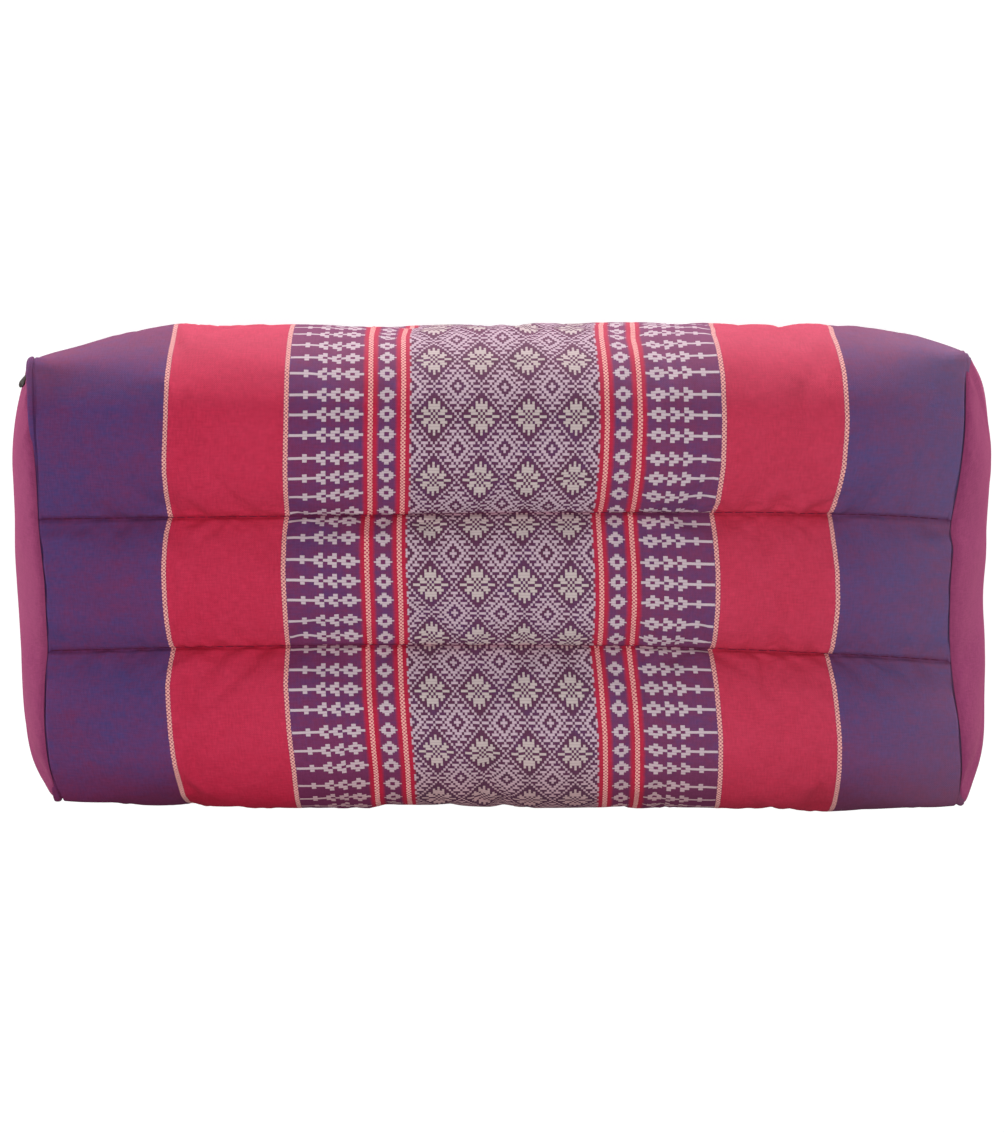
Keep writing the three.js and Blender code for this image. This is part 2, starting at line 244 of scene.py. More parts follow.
def from_seam(place):
    """How far a place is from the nearest long seam, as a share of its channel (0 to 0.5)."""
    return np.abs(place - np.round(place))


def ease(share):
    """Rises from 0 to 1 with a level start and a level end."""
    share = np.clip(share, 0, 1)
    return share * share * (3 - 2 * share)


def stray(along, place):
    """Sideways wander in Y: each column of the table, fading out on both sides of its own place."""
    total = np.zeros(np.broadcast(along, place).shape)
    for column, (centre, reach) in enumerate(STRAY_PLACES, start=1):
        apart = np.abs(np.mod(place - centre + CHANNELS / 2, CHANNELS) - CHANNELS / 2)
        total += np.interp(along, STRAY[:, 0], STRAY[:, column]) * ease(1 - apart / reach)
    return total


def end_outward(place):
    """Unit vector, level with the end, that points out of the end seam's loop."""
    step = 0.03
    dy = end_seam("y", place + step) - end_seam("y", place - step)
    dz = end_seam("z", place + step) - end_seam("z", place - step)
    length = np.hypot(dy, dz)
    return dz / length, -dy / length


def wrap_surface(along, place):
    """Points (x, y, z) of the wrap: the section blended into the end loop by the distance from the end."""
    along, place = np.broadcast_arrays(along, place)
    reach = np.where(along < 0, end_seam("left", place), end_seam("right", place))
    distance = (1 - np.abs(along)) * LENGTH / 2
    near = np.maximum(0, 1 - distance / SHOULDER) ** DRAW_IN_POWER
    full_y, full_z = section(place)
    out_y, out_z = end_outward(place)
    pull = SEAM_PULL * near * np.exp(-from_seam(place) / 0.1)
    y = full_y + (end_seam("y", place) - full_y) * near - pull * out_y
    z = full_z + (end_seam("z", place) - full_z) * near - pull * out_z
    return np.stack([along * reach, y + stray(along, place), z], axis=-1)


middle_crest = wrap_surface(np.array(0.0), np.array(0.5))
print("crest of the middle channel:", np.round(middle_crest, 1).tolist())

# %% [markdown]
# ## The grid that carries the cloth
#
# A mesh of even squares would waste points on the smooth crests and lack them in the creases. So the
# columns crowd towards every seam and the rows crowd towards both ends. The same two functions make a
# coarse grid for the simulation and a fine one for the finished surface.

# %% Rows and columns
CROWDING = 0.55


def channel_shares(count):
    """Shares across a channel that crowd towards both seams: the even share less a sine of itself."""
    even = np.linspace(0, 1, count + 1)
    return even - CROWDING * np.sin(2 * np.pi * even) / (2 * np.pi)


def columns(middle_count, corner_count):
    """Places round the loop, channel by channel, without the last one, which is the first again."""
    counts = [middle_count if c % 3 == 0 else corner_count for c in range(CHANNELS)]
    places = [c + channel_shares(count)[:-1] for c, count in enumerate(counts)]
    return np.concatenate(places), counts


def rows(count):
    """Stations from -1 to 1 that crowd towards the two ends."""
    even = np.linspace(-1, 1, count)
    return np.sign(even) * (1 - (1 - np.abs(even)) ** 1.3)


GROOVE_MM = 2.2
GROOVE = 1 - 2 * GROOVE_MM / LENGTH  # the wrap's last row lies in the groove beside the hem
FINE_ROWS, FINE_COLUMNS = 236, (40, 88)
fine_places, fine_counts = columns(*FINE_COLUMNS)
fine_rows = rows(FINE_ROWS) * GROOVE
print("fine grid:", len(fine_rows), "rows x", len(fine_places), "columns")

# %% [markdown]
# ## Small irregularities
#
# Hand-filled cloth is never perfectly even. A cheap and repeatable way to make it uneven is a sum of sine
# waves with seeded directions and phases: it costs one array expression and gives the same bumps on each
# run. Three kinds are laid on the wrap: slow swellings of the channels, puckers that cross the long seams,
# and gathers that run in from the hems. A narrow crease is sunk along each seam as well, and the corners
# of the hem stand out a little.

# %% Seeded waves


def ripple(across, around, wavelength, seed, waves=9):
    """Sum of sine waves of about one wavelength in seeded directions, scaled to lie within about -1 to 1."""
    rng = np.random.default_rng(seed)
    total = np.zeros(np.broadcast(across, around).shape)
    for _ in range(waves):
        direction = rng.uniform(0, np.pi)
        length = wavelength * rng.uniform(0.7, 1.5)
        phase = rng.uniform(0, 2 * np.pi)
        along_wave = across * np.cos(direction) + around * np.sin(direction)
        total += np.sin(2 * np.pi * along_wave / length + phase)
    return total / np.sqrt(waves)


def wander(where, wavelength, seed, waves=7):
    """The same idea in one direction: a slowly changing line."""
    rng = np.random.default_rng(seed)
    total = np.zeros(np.shape(where))
    for _ in range(waves):
        length = wavelength * rng.uniform(0.6, 1.7)
        total += np.sin(2 * np.pi * where / length + rng.uniform(0, 2 * np.pi))
    return total / np.sqrt(waves)


sample = np.linspace(0, 300, 901)
print("a wander of 20 mm waves reaches", round(float(np.abs(wander(sample, 20, 1)).max()), 2))

# %% Lengths of cloth, normals and corners
ARC = {"middle": 57.2, "corner": 116.3}  # millimetres of cloth across a channel


def arc_of(place):
    """Millimetres of cloth per whole channel at each place."""
    channel = np.floor(np.mod(place, CHANNELS)).astype(int)
    return np.where(channel % 3 == 0, ARC["middle"], ARC["corner"])


def surface_normals(points):
    """Outward unit normals of a closed-round grid, from the cross product of its two directions."""
    along = np.gradient(points, axis=0)
    around = np.roll(points, -1, axis=1) - np.roll(points, 1, axis=1)
    normal = np.cross(around, along)
    return normal / np.linalg.norm(normal, axis=-1, keepdims=True)


CORNER_NUB = {
    # end: (corner's place, millimetres that it stands out)
    -1: [(5.43, 2.2), (1.57, 0.0)],
    1: [(5.43, 2.0), (1.57, -0.2)],
}
NUB_WIDTH, NUB_LENGTH = 0.05, 5.0  # in places round the loop, and in millimetres along the cushion


def corner_bells(place, width):
    """Rises to 1 at each corner of the end loop."""
    return np.max([np.exp(-(((place - corner) / width) ** 2)) for corner in END_CORNERS], axis=0)


def corner_nub(side, place):
    """Millimetres that the end of the wrap stands out at its upper corners: a bell at each corner."""
    nubs = [size * np.exp(-(((place - at) / NUB_WIDTH) ** 2)) for at, size in CORNER_NUB[side]]
    return np.sum(nubs, axis=0)


print("corners of the end loop at places", END_CORNERS)

# %% Uneven surfaces
SWELLING, PUCKER, GATHER, CREASE = 0.55, 0.34, 0.4, 0.8  # millimetres at the most


def unevenness(points, along, place):
    """Millimetres to push each point out: swellings, seam puckers, hem gathers, creases and corners."""
    x = points[..., 0]
    seam_mm = from_seam(place) * arc_of(place)
    end_mm = (1 - np.abs(along)) * LENGTH / 2
    round_mm = place * ROUND_MM
    swelling = SWELLING * ripple(x, round_mm, 95, 11) * ease(seam_mm / 18) * ease(end_mm / 30)
    side = np.sign(place - np.round(place))
    pucker_line = np.where(side > 0, wander(x, 11, 21), wander(x, 11, 22))
    pucker = PUCKER * pucker_line * np.exp(-((seam_mm - 3.5) / 4.0) ** 2)
    gather = GATHER * wander(round_mm, 22, 32) * np.exp(-((end_mm - 9) / 10) ** 2)
    crease = -CREASE * np.exp(-((seam_mm / 0.75) ** 2))
    nub = np.where(along < 0, corner_nub(-1, place), corner_nub(1, place))
    return swelling + pucker + gather + crease + nub * np.exp(-(((end_mm - 1) / NUB_LENGTH) ** 2))


def roughen(points, along, place):
    """Pushes a grid of points out along its normals by the unevenness, and keeps it off the floor."""
    moved = points + surface_normals(points) * unevenness(points, along, place)[..., None]
    moved[..., 2] = np.maximum(moved[..., 2], 0.0)
    return moved


fine_along, fine_place = np.meshgrid(fine_rows, fine_places, indexing="ij")
fine_points = roughen(wrap_surface(fine_along, fine_place), fine_along, fine_place)
print("wrap points:", fine_points.shape, "highest", round(float(fine_points[..., 2].max()), 2), "mm")

# %% [markdown]
# ## Where the weave lies on the wrap
#
# The bands of the cloth are dead straight on the loom, but on the cushion they bow: the seams hold the
# cloth in towards the middle and the crests let it spread. The table says how far the cloth has drifted
# along X at six of its lines, for places across the face. The back is taken to drift like the face. Each
# channel has its own rows of the table, because the cloth shifts a little where it crosses a seam.

# %% The cloth's drift along X
CLOTH_CENTRE = 1.3
LINES = np.array([-126.8, -81.3, -50.0, 50.0, 81.3, 126.8])
DRIFT = {
    # channel: rows of (share across it, drift at each of the six lines)
    5: [
        (0.00, 2.6, 1.2, 0.2, -1.4, -2.6, -3.6),
        (0.30, 1.5, 0.5, -0.4, -2.0, -3.1, -3.4),
        (0.50, 0.6, 0.2, 0.0, -0.4, -0.8, -0.5),
        (0.65, 0.2, 0.1, -0.1, 0.0, -0.3, 0.2),
        (0.80, -0.4, -0.5, -0.4, -0.6, -0.5, -0.6),
        (0.95, 0.0, -0.6, -0.8, -1.8, -2.1, -3.4),
        (1.00, 0.6, -0.6, -1.0, -2.4, -3.4, -4.8),
    ],
    0: [
        (0.00, 0.3, -1.0, -1.9, -3.2, -4.1, -4.6),
        (0.14, -0.9, -1.6, -2.0, -2.8, -3.1, -3.8),
        (0.40, -1.7, -1.8, -1.9, -1.8, -1.9, -2.2),
        (0.63, -1.4, -1.4, -1.5, -1.6, -1.8, -1.7),
        (0.90, -0.4, -1.1, -1.4, -2.0, -2.5, -2.7),
        (1.00, 0.3, -1.0, -1.4, -2.1, -3.0, -3.3),
    ],
    1: [
        (0.00, 0.6, -1.0, -2.2, -3.4, -3.9, -4.8),
        (0.14, -1.1, -1.4, -1.5, -1.8, -1.9, -2.2),
        (0.31, 0.1, 0.0, -0.1, -0.2, -0.2, -0.3),
        (0.44, 1.8, 1.3, 0.9, 0.1, 0.1, 0.0),
        (0.63, 3.7, 2.1, 1.2, 0.2, 0.0, -0.2),
        (1.00, 4.4, 3.0, 1.8, -0.8, -1.6, -2.4),
    ],
}
DRIFT[2], DRIFT[3], DRIFT[4] = DRIFT[5], DRIFT[0], DRIFT[1]
print("drift is given on lines at", LINES.tolist(), "mm")

# %% The pattern's rows round the cushion
ROW_MM = 1.08  # height of one weft row of the pattern
FIRST_ROW = 40.0  # the row of the pattern that lies on the seam at place 0
ROWS_ACROSS = {0: 52.9, 1: 104.0, 2: 108.0, 3: 53.0, 4: 108.0, 5: 110.0}
SLIP_LINES = np.array([-78.0, -45.0, 45.0, 78.0])
SLIP = {
    # channel: rows of (share across it, millimetres the rows have slipped round at each of the four lines)
    5: [
        (0.00, 0.0, 0.0, 0.0, 0.0),
        (0.48, 1.0, 1.3, 1.0, 0.6),
        (0.62, 0.9, 1.3, 0.7, 0.0),
        (0.76, 0.6, 0.9, 0.0, -0.9),
        (0.84, 0.0, 0.0, -0.8, -1.9),
        (0.91, -0.8, -0.7, -2.0, -3.0),
        (1.00, -2.3, -2.3, -3.1, -4.1),
    ],
    0: [
        (0.00, 1.2, -0.9, -1.2, -2.2),
        (0.18, 1.2, 0.1, -0.2, -1.5),
        (0.34, 1.1, 0.0, 0.0, -0.9),
        (0.60, 0.8, 0.1, -0.3, -0.9),
        (0.76, 0.1, -0.2, -0.2, -1.1),
        (0.91, -0.6, -1.3, -1.0, -1.8),
        (1.00, -1.0, -1.8, -1.4, -2.2),
    ],
    1: [
        (0.00, -0.3, -0.9, 0.0, -0.5),
        (0.09, -0.6, -0.3, 0.8, 0.5),
        (0.16, -0.3, 0.2, 0.9, 0.7),
        (0.22, -0.1, 0.4, 0.7, 1.0),
        (0.30, 0.1, 1.2, 0.8, 1.1),
        (0.38, 0.4, 1.6, 1.1, 0.9),
        (0.50, 0.4, 1.0, 1.0, 0.4),
        (0.58, 0.4, 0.3, 0.3, -0.2),
        (1.00, 0.0, 0.0, 0.0, 0.0),
    ],
}
SLIP[2], SLIP[3], SLIP[4] = SLIP[5], SLIP[0], SLIP[1]
print("pattern rows round the cushion:", round(sum(ROWS_ACROSS.values()), 1))

# %% Cloth coordinates


def read_table(table, lines, share, x):
    """A table read at each share of its channel, then by straight lines between its stations along X."""
    table = np.array(table)
    at_shares = np.stack([np.interp(share, table[:, 0], column) for column in table[:, 1:].T])
    slot = np.clip(np.searchsorted(lines, x) - 1, 0, len(lines) - 2)
    part = np.clip((x - lines[slot]) / (lines[slot + 1] - lines[slot]), 0, 1)
    across = np.broadcast_to(np.arange(x.shape[-1]), x.shape)
    return at_shares[slot, across] * (1 - part) + at_shares[slot + 1, across] * part


def cloth_across(x, channel, share):
    """Millimetres across the cloth from its centre line: X less the drift there."""
    return x - CLOTH_CENTRE - read_table(DRIFT[channel], LINES + CLOTH_CENTRE, share, x)


def row_slip(channel, share, x):
    """Pattern rows gained at each point, because the cloth is stretched more in some places than others."""
    return read_table(SLIP[channel], SLIP_LINES, share, x) / ROW_MM


def row_start(channel):
    """Pattern row at a channel's first seam. The strip's own ends meet at the back seam, place 4."""
    if channel >= 4:
        return FIRST_ROW - sum(ROWS_ACROSS[c] for c in range(channel, CHANNELS))
    return FIRST_ROW + sum(ROWS_ACROSS[c] for c in range(channel))


def cloth_map(points, counts):
    """For each channel, the cloth's (across, round) millimetres at every row and column of its own strip."""
    total = points.shape[1]
    strips, start = [], 0
    for channel, count in enumerate(counts):
        taken = np.arange(start, start + count + 1) % total
        share = channel_shares(count)
        x = points[:, taken, 0]
        across = cloth_across(x, channel, share)
        rows_here = row_start(channel) + share * ROWS_ACROSS[channel] + row_slip(channel, share, x)
        strips.append(np.stack([across, rows_here * ROW_MM], axis=-1))
        start += count
    return strips


print("pattern rows on the seams:", [round(row_start(c), 1) for c in range(CHANNELS)])

# %% [markdown]
# ## The hem and the covered end
#
# Where the wrap meets an end panel, its edge is turned in and sewn down close. Only at the corners does it
# fold out, as a thin ridge with a groove beside it. The hem is one short profile carried round the end
# loop: each step is so far out from the loop and so far on along X, and the corners mix in a second
# profile. The filling's own end, which the panel covers, closes the mesh, because a filled cushion is one
# closed form.

# %% Sizes of the hem and the covered end
HEM_PROFILE = {
    # (out from the loop, on along X): closely sewn down, and folded out at a corner
    "flat": [
        (-1.3, -1.60), (-1.9, -1.30), (-2.0, -1.00), (-2.0, -0.80), (-2.05, -0.60),
        (-2.1, -0.45), (-2.2, -0.30), (-2.3, -0.15), (-2.5, -0.05), (-2.8, 0.00),
    ],
    "folded": [
        (-1.2, -1.60), (-1.2, -1.25), (-0.2, -1.15), (0.5, -0.90), (0.9, -0.30),
        (1.0, 0.45), (0.85, 1.10), (0.4, 1.50), (-0.3, 1.60), (-1.4, 1.50),
    ],
}
FOLDS = {
    # end: (place, how far folded out, half width in places)
    -1: [(5.42, 1.0, 0.09), (5.6, 0.72, 0.165), (1.565, 1.0, 0.055)],
    1: [(5.435, 0.5, 0.03), (1.575, 0.8, 0.04)],
}
END_HALF_Y, END_HALF_Z = 84.0, 47.0
CAP_RINGS = np.linspace(0.955, 0.12, 9)
PANEL_BULGE = {-1: 15.3, 1: 15.2}  # left and right
PANEL_SWELL = {
    # end: even part, tilt, bow and twist, which are the cubic's four numbers
    -1: (1.0, 0.117, -0.058, -0.45),
    1: (0.957, 0.073, 0.135, -0.224),
}
PANEL_DENT = 0.03  # share of the bulge lost in line with the long seams
COVER_DEPTH, COVER_GAP = 1.2, 1.6  # how much flatter than the panel the filling is, and how far behind it
print("hem profile:", len(HEM_PROFILE["flat"]), "steps; covered end:", len(CAP_RINGS), "rings")

# %% The hem's rings and the end's dome


def folded_out(side, place):
    """How far the hem is folded out at a place: bell curves added up and held below 1."""
    bells = [size * np.exp(-(((place - at) / width) ** 2)) for at, size, width in FOLDS[side]]
    return np.minimum(1, np.sum(bells, axis=0))


def hem_rings(side, place):
    """The hem's rings for one end: the two profiles mixed, moved along the loop's outward direction and X."""
    name = "left" if side < 0 else "right"
    out_y, out_z = end_outward(place)
    fold = folded_out(side, place)
    nub = corner_nub(side, place)
    flat, folded = (np.array(HEM_PROFILE[kind])[:, :, None] for kind in ("flat", "folded"))
    out, on = np.moveaxis(flat + (folded - flat) * fold, 1, 0)
    standing = np.clip(out + 1.2, 0, 1.6) / 1.6
    round_mm = place * ROUND_MM
    loose = 0.12 * wander(round_mm, 9, 41 + side) + 0.10 * wander(round_mm, 4, 44 + side)
    lean = 0.22 * wander(round_mm, 17, 47 + side)
    # At the corners the groove is sewn shallow, and the stand-out fades towards the hem's outer edge.
    shallow = 0.75 * corner_bells(place, 0.07) * np.where((side < 0) & (place < 3), 0.5, 1.0)
    out = np.where(out < 0, out * (1 - shallow * (on < -0.3)), out)
    reach = out + nub * np.clip(0.5 - on / 3.2, 0, 1) + loose * standing
    x = side * (end_seam(name, place) + on + lean)
    y = end_seam("y", place) + stray(float(side), place) + out_y * reach
    z = np.maximum(end_seam("z", place) + out_z * reach, 0.05)
    return np.stack([x, y, z], axis=-1)


def end_dome(side, ring, place, behind=0.0):
    """The end's domed surface: ring 1 is the end seam, 0 the middle. It is flat-topped and steep-edged, and
    a cubic of the share across says where it swells most."""
    bulge = PANEL_BULGE[side] - behind
    name = "left" if side < 0 else "right"
    ring, place = np.broadcast_arrays(ring, place)
    seam_y = end_seam("y", place) + stray(float(side), place)
    seam_z = end_seam("z", place) - HEIGHT / 2
    reach = np.maximum(np.abs(seam_y) / END_HALF_Y, np.abs(seam_z) / END_HALF_Z)
    wide = ring * (1 + (1 - END_HALF_Z / END_HALF_Y) * (1 - ring))
    across = wide * seam_y / END_HALF_Y / reach
    upright = ring * seam_z / END_HALF_Z / reach
    at_seam = ring**2
    y = END_HALF_Y * across * (1 - at_seam) + wide * seam_y * at_seam
    z = END_HALF_Z * upright * (1 - at_seam) + ring * seam_z * at_seam
    dome = (1 - np.minimum(np.abs(across), 1) ** 6) ** 0.7
    dome = dome * (1 - np.minimum(np.abs(upright), 1) ** 2) ** 0.7
    dents = np.exp(-(((np.abs(y) - SEAM_Y) / 15) ** 2))
    x = LENGTH / 2 + (end_seam(name, place) - LENGTH / 2) * at_seam
    even, tilt, bow, twist = PANEL_SWELL[side]
    swell = even + tilt * across + bow * across**2 + twist * across**3
    start = -0.85 + 2.1 * folded_out(side, place)
    x = x + start + (1.0 - start) * (1 - at_seam) + bulge * dome * swell * (1 - PANEL_DENT * dents)
    return np.stack([side * x, y, z + HEIGHT / 2], axis=-1)


left_hem, right_hem = hem_rings(-1, fine_places), hem_rings(1, fine_places)
print("hem rings:", left_hem.shape, right_hem.shape)

# %% [markdown]
# ## Meshes from grids
#
# Every sewn piece here is a stack of closed rings with a point at each end, so one function turns a grid
# into a mesh. The faces are worked out as arrays of corner numbers, which Blender takes whole. A second
# function stores the cloth's own coordinates as a UV map: it gives each face corner its own value, so the
# pattern can jump at a seam while the surface stays joined.

# %% Grid helpers


def ring_faces(ring_count, around):
    """Quads between neighbouring rings of a closed-round grid, as arrays of four vertex numbers."""
    row, column = np.meshgrid(np.arange(ring_count - 1), np.arange(around), indexing="ij")
    after = (column + 1) % around
    corners = [row * around + column, row * around + after]
    corners += [(row + 1) * around + after, (row + 1) * around + column]
    return np.stack(corners, axis=-1).reshape(-1, 4)


def mesh_from_arrays(name, points, quads, triangles=None):
    """A mesh object from whole arrays: points in millimetres, quads, and any triangles for the poles."""
    mesh = bpy.data.meshes.new(name)
    faces = quads.tolist() + ([] if triangles is None else triangles.tolist())
    mesh.from_pydata((points * MM).tolist(), [], faces)
    mesh.update()
    piece = bpy.data.objects.new(name, mesh)
    bpy.context.scene.collection.objects.link(piece)
    mesh.shade_smooth()
    return piece


def closed_stack(name, rings, first_pole, last_pole):
    """A closed body: rings of points joined by quads, with a fan of triangles to a pole at each end."""
    ring_count, around = rings.shape[:2]
    points = np.vstack([rings.reshape(-1, 3), first_pole, last_pole])
    column = np.arange(around)
    after = (column + 1) % around
    first = np.stack([np.full(around, ring_count * around), after, column], axis=-1)
    last_row = (ring_count - 1) * around
    last_pole_index = np.full(around, ring_count * around + 1)
    last = np.stack([last_pole_index, last_row + column, last_row + after], axis=-1)
    return mesh_from_arrays(name, points, ring_faces(ring_count, around), np.vstack([first, last]))


def quad_corners(grid):
    """The values at each quad's four corners, in the order of ring_faces."""
    low, high = grid[:, :-1], grid[:, 1:]
    return np.stack([low[:-1], high[:-1], high[1:], low[1:]], axis=2)


def lay_map(piece, name, corner_values):
    """A UV map with one value for each face corner, given in the order of the mesh's loops."""
    layer = piece.data.uv_layers.new(name=name)
    layer.data.foreach_set("uv", corner_values.astype(np.float32).ravel())


# %% [markdown]
# ## The simulated lie of the cloth
#
# Worked-out arcs look machine-made, so the wrap is also given to Blender's cloth solver. A coarse copy is
# pinned along all its seams, made two parts in a hundred too big, and blown up gently with no gravity. The
# spare cloth has nowhere to go at the pinned seams, so it puckers there, as real quilting does. Only the
# moves straight in or out are kept: they are capped, and carried over to the fine grid.

# %% Pin and blow up a coarse copy
SPARE_CLOTH = 0.022
TRIAL_ROWS, TRIAL_COLUMNS = 130, (18, 40)
FRAMES = 20  # enough for the blown-up cloth to come to rest
LONGEST_MOVE = 1.9
EVEN_REACH = 60.0  # the shoulders are stretched tight, so the moves fade out over this length


def pinned_copy(places, stations, points):
    """A coarse open tube of the wrap whose seam columns and end rows are in a pin group."""
    quads = ring_faces(len(stations), len(places))
    tube = mesh_from_arrays("wrap_trial", points.reshape(-1, 3), quads)
    on_seam = from_seam(np.broadcast_to(places, points.shape[:2])) < 1e-6
    on_seam[0, :] = on_seam[-1, :] = True
    group = tube.vertex_groups.new(name="sewn")
    group.add(np.flatnonzero(on_seam.ravel()).tolist(), 1.0, "REPLACE")
    return tube


def simulate(tube):
    """Runs the cloth solver and returns the settled points in millimetres."""
    cloth = tube.modifiers.new("cloth", "CLOTH").settings
    cloth.quality = 6
    cloth.mass = 0.25
    cloth.tension_stiffness = cloth.compression_stiffness = 18
    cloth.shear_stiffness = 6
    cloth.bending_stiffness = 0.12
    cloth.use_pressure = True
    cloth.uniform_pressure_force = 4.0
    cloth.vertex_group_mass = "sewn"
    cloth.shrink_min = -SPARE_CLOTH
    cloth.effector_weights.gravity = 0
    scene = bpy.context.scene
    for number in range(1, FRAMES + 1):
        scene.frame_set(number)
    settled = tube.evaluated_get(bpy.context.evaluated_depsgraph_get()).data
    co = np.empty(len(settled.vertices) * 3, np.float32)
    settled.vertices.foreach_get("co", co)
    bpy.data.objects.remove(tube)
    scene.frame_set(1)
    return co.reshape(-1, 3).astype(float) / MM


print("the trial copy has", TRIAL_ROWS, "rows and settles over", FRAMES, "frames")

# %% Carry the moves to the fine grid


def carry(moves, stations, places, to_stations, to_places):
    """Moves on the coarse grid read at the fine one: straight-line interpolation in both directions."""
    row = np.interp(to_stations, stations, np.arange(len(stations)))
    column = np.interp(to_places, np.append(places, CHANNELS), np.arange(len(places) + 1))
    low_row = np.minimum(row.astype(int), len(stations) - 2)
    part = (row - low_row)[:, None, None]
    on_rows = moves[low_row] * (1 - part) + moves[low_row + 1] * part
    closed = np.concatenate([on_rows, on_rows[:, :1]], axis=1)
    low = np.minimum(column.astype(int), len(places) - 1)
    part = (column - low)[None, :, None]
    return closed[:, low] * (1 - part) + closed[:, low + 1] * part


def lifelike_moves():
    """The simulation's moves at the fine grid's points."""
    places, _ = columns(*TRIAL_COLUMNS)
    stations = rows(TRIAL_ROWS) * GROOVE
    start = wrap_surface(*np.meshgrid(stations, places, indexing="ij"))
    settled = simulate(pinned_copy(places, stations, start))
    moves = settled.reshape(start.shape) - start
    # The even part of the swelling is taken off again, because the section already has its full size.
    inward = ease((1 - np.abs(stations)) * LENGTH / 2 / EVEN_REACH)[:, None, None]
    moves = (moves - moves.mean(axis=0)) * inward
    # Only the part straight in or out is kept, so that the bands and rows stay where they were woven.
    outward = surface_normals(start)
    moves = outward * (moves * outward).sum(axis=-1, keepdims=True)
    length = np.linalg.norm(moves, axis=-1, keepdims=True)
    moves *= np.minimum(1, LONGEST_MOVE / np.maximum(length, 1e-9))
    print("simulated:", start.shape, "mean move", round(float(length.mean()), 2), "mm")
    return carry(moves, stations, places, fine_rows, fine_places)


fine_points += lifelike_moves()
fine_points[..., 2] = np.maximum(fine_points[..., 2], 0.0)

# %% [markdown]
# ## The wrap
#
# The finished wrap is one closed body: the covered end, the hem, the long surface, and the other hem and
# end. The cloth map of the long surface carries on over the hems, which are folds of the same purple edge.
# Each point also stores how near a seam's crease it lies, so that the creases can be given a painted shade.

# %% Build the wrap


HEM_STEP = 0.8  # millimetres of cloth from ring to ring over a hem
END_CLOTH = (200.0, 0.0)  # the map's value at the covered poles, out in the plain purple
CREASE_SHADE = 0.5  # millimetres either side of a seam's crease that get the painted shade


def filling_end(side, ring, place):
    """The filling's own end, a little behind the panel that covers it."""
    return end_dome(side, ring, place, COVER_DEPTH) - (side * COVER_GAP, 0, 0)


def stack_wrap():
    """Rings of the whole wrap from the left end to the right, with its two poles."""
    left, right = (filling_end(side, CAP_RINGS[:, None], fine_places) for side in (-1, 1))
    rings = np.concatenate([left[::-1], left_hem[::-1], fine_points, right_hem, right])
    return rings, [filling_end(side, np.array(0.0), np.array(0.0)) for side in (-1, 1)]


def wrap_map(ring_count, around, strips, ends):
    """Corner values for the wrap: each channel's strip of cloth, held level over the hems and covers."""
    padded = [np.pad(strip, ((ends, ends), (0, 0), (0, 0)), mode="edge") for strip in strips]
    run = np.concatenate([np.arange(ends, 0, -1), np.zeros(ring_count - 2 * ends), np.arange(1, ends + 1)])
    side = np.sign(np.arange(ring_count) - ring_count / 2)
    for strip in padded:
        strip[..., 0] += (run * side)[:, None] * HEM_STEP
    quads = np.concatenate([quad_corners(strip) for strip in padded], axis=1).reshape(-1, 2)
    fans = np.tile([END_CLOTH], (around * 2 * 3, 1))
    return np.vstack([quads, fans])


def seam_shade(ring_count, ends):
    """A vertex value for the painted shade: 1 in the crease of each long seam, falling as a bell, and 0 on
    the covered ends.
    """
    bell_round = np.exp(-((from_seam(fine_places) * arc_of(fine_places) / CREASE_SHADE) ** 2))
    shade = np.tile(bell_round, (ring_count, 1))
    shade[:ends] = shade[ring_count - ends :] = 0.0
    return np.append(shade.ravel(), [0.0, 0.0])


wrap_rings, wrap_poles = stack_wrap()
woven_wrap = closed_stack("woven_wrap", wrap_rings, *wrap_poles)
end_rings = len(CAP_RINGS) + len(left_hem)
cloth_strips = cloth_map(fine_points, fine_counts)
lay_map(woven_wrap, "cloth_mm", wrap_map(len(wrap_rings), len(fine_places), cloth_strips, end_rings))
# Painted shade: how near each point lies to a seam's crease, which darkens the colour there.
painted_crease_shade = woven_wrap.data.attributes.new("painted_crease_shade", "FLOAT", "POINT")
painted_crease_shade.data.foreach_set("value", seam_shade(len(wrap_rings), len(CAP_RINGS)).astype(np.float32))
print("woven_wrap:", len(woven_wrap.data.polygons), "faces")

# %% [markdown]
# ## The end panels
#
# Each panel is a plain cloth cut to the end's outline and sewn in tight, so it domes over the filling and
# shows faint folds where the corners pull. It is made as a thin closed skin: the outer face, and an inner
# face a little over a millimetre behind it. Its cloth map is the flat cut itself: the distance from the
# middle is measured along the dome, in the direction of each point.

# %% The panels' skins
PANEL_THICKNESS = 1.2
PANEL_RINGS = 1 - np.linspace(0, 1, 40)[:-1] ** 1.25
PANEL_COLUMNS = (26, 56)
PANEL_TUCK, PANEL_SINK = 0.7, 0.3  # how far its edge goes in under the wrap, and down
EDGE_GATHER, CORNER_SLACK = 0.32, 0.55  # millimetres at the most


def panel_folds(side, points, ring, place):
    """Millimetres of fold on a panel: fine gathers at its edge and slack diagonals from its corners."""
    from_edge = 1 - ring
    gathers = EDGE_GATHER * wander(place * ROUND_MM, 8, 61 + side) * ease(from_edge / 0.03)
    y, z = points[..., 1], points[..., 2] - HEIGHT / 2
    slack = CORNER_SLACK * ripple(y, z, 38, 64 + side, waves=6) * ease(from_edge / 0.25)
    return gathers * np.exp(-((from_edge / 0.09) ** 2)) + slack


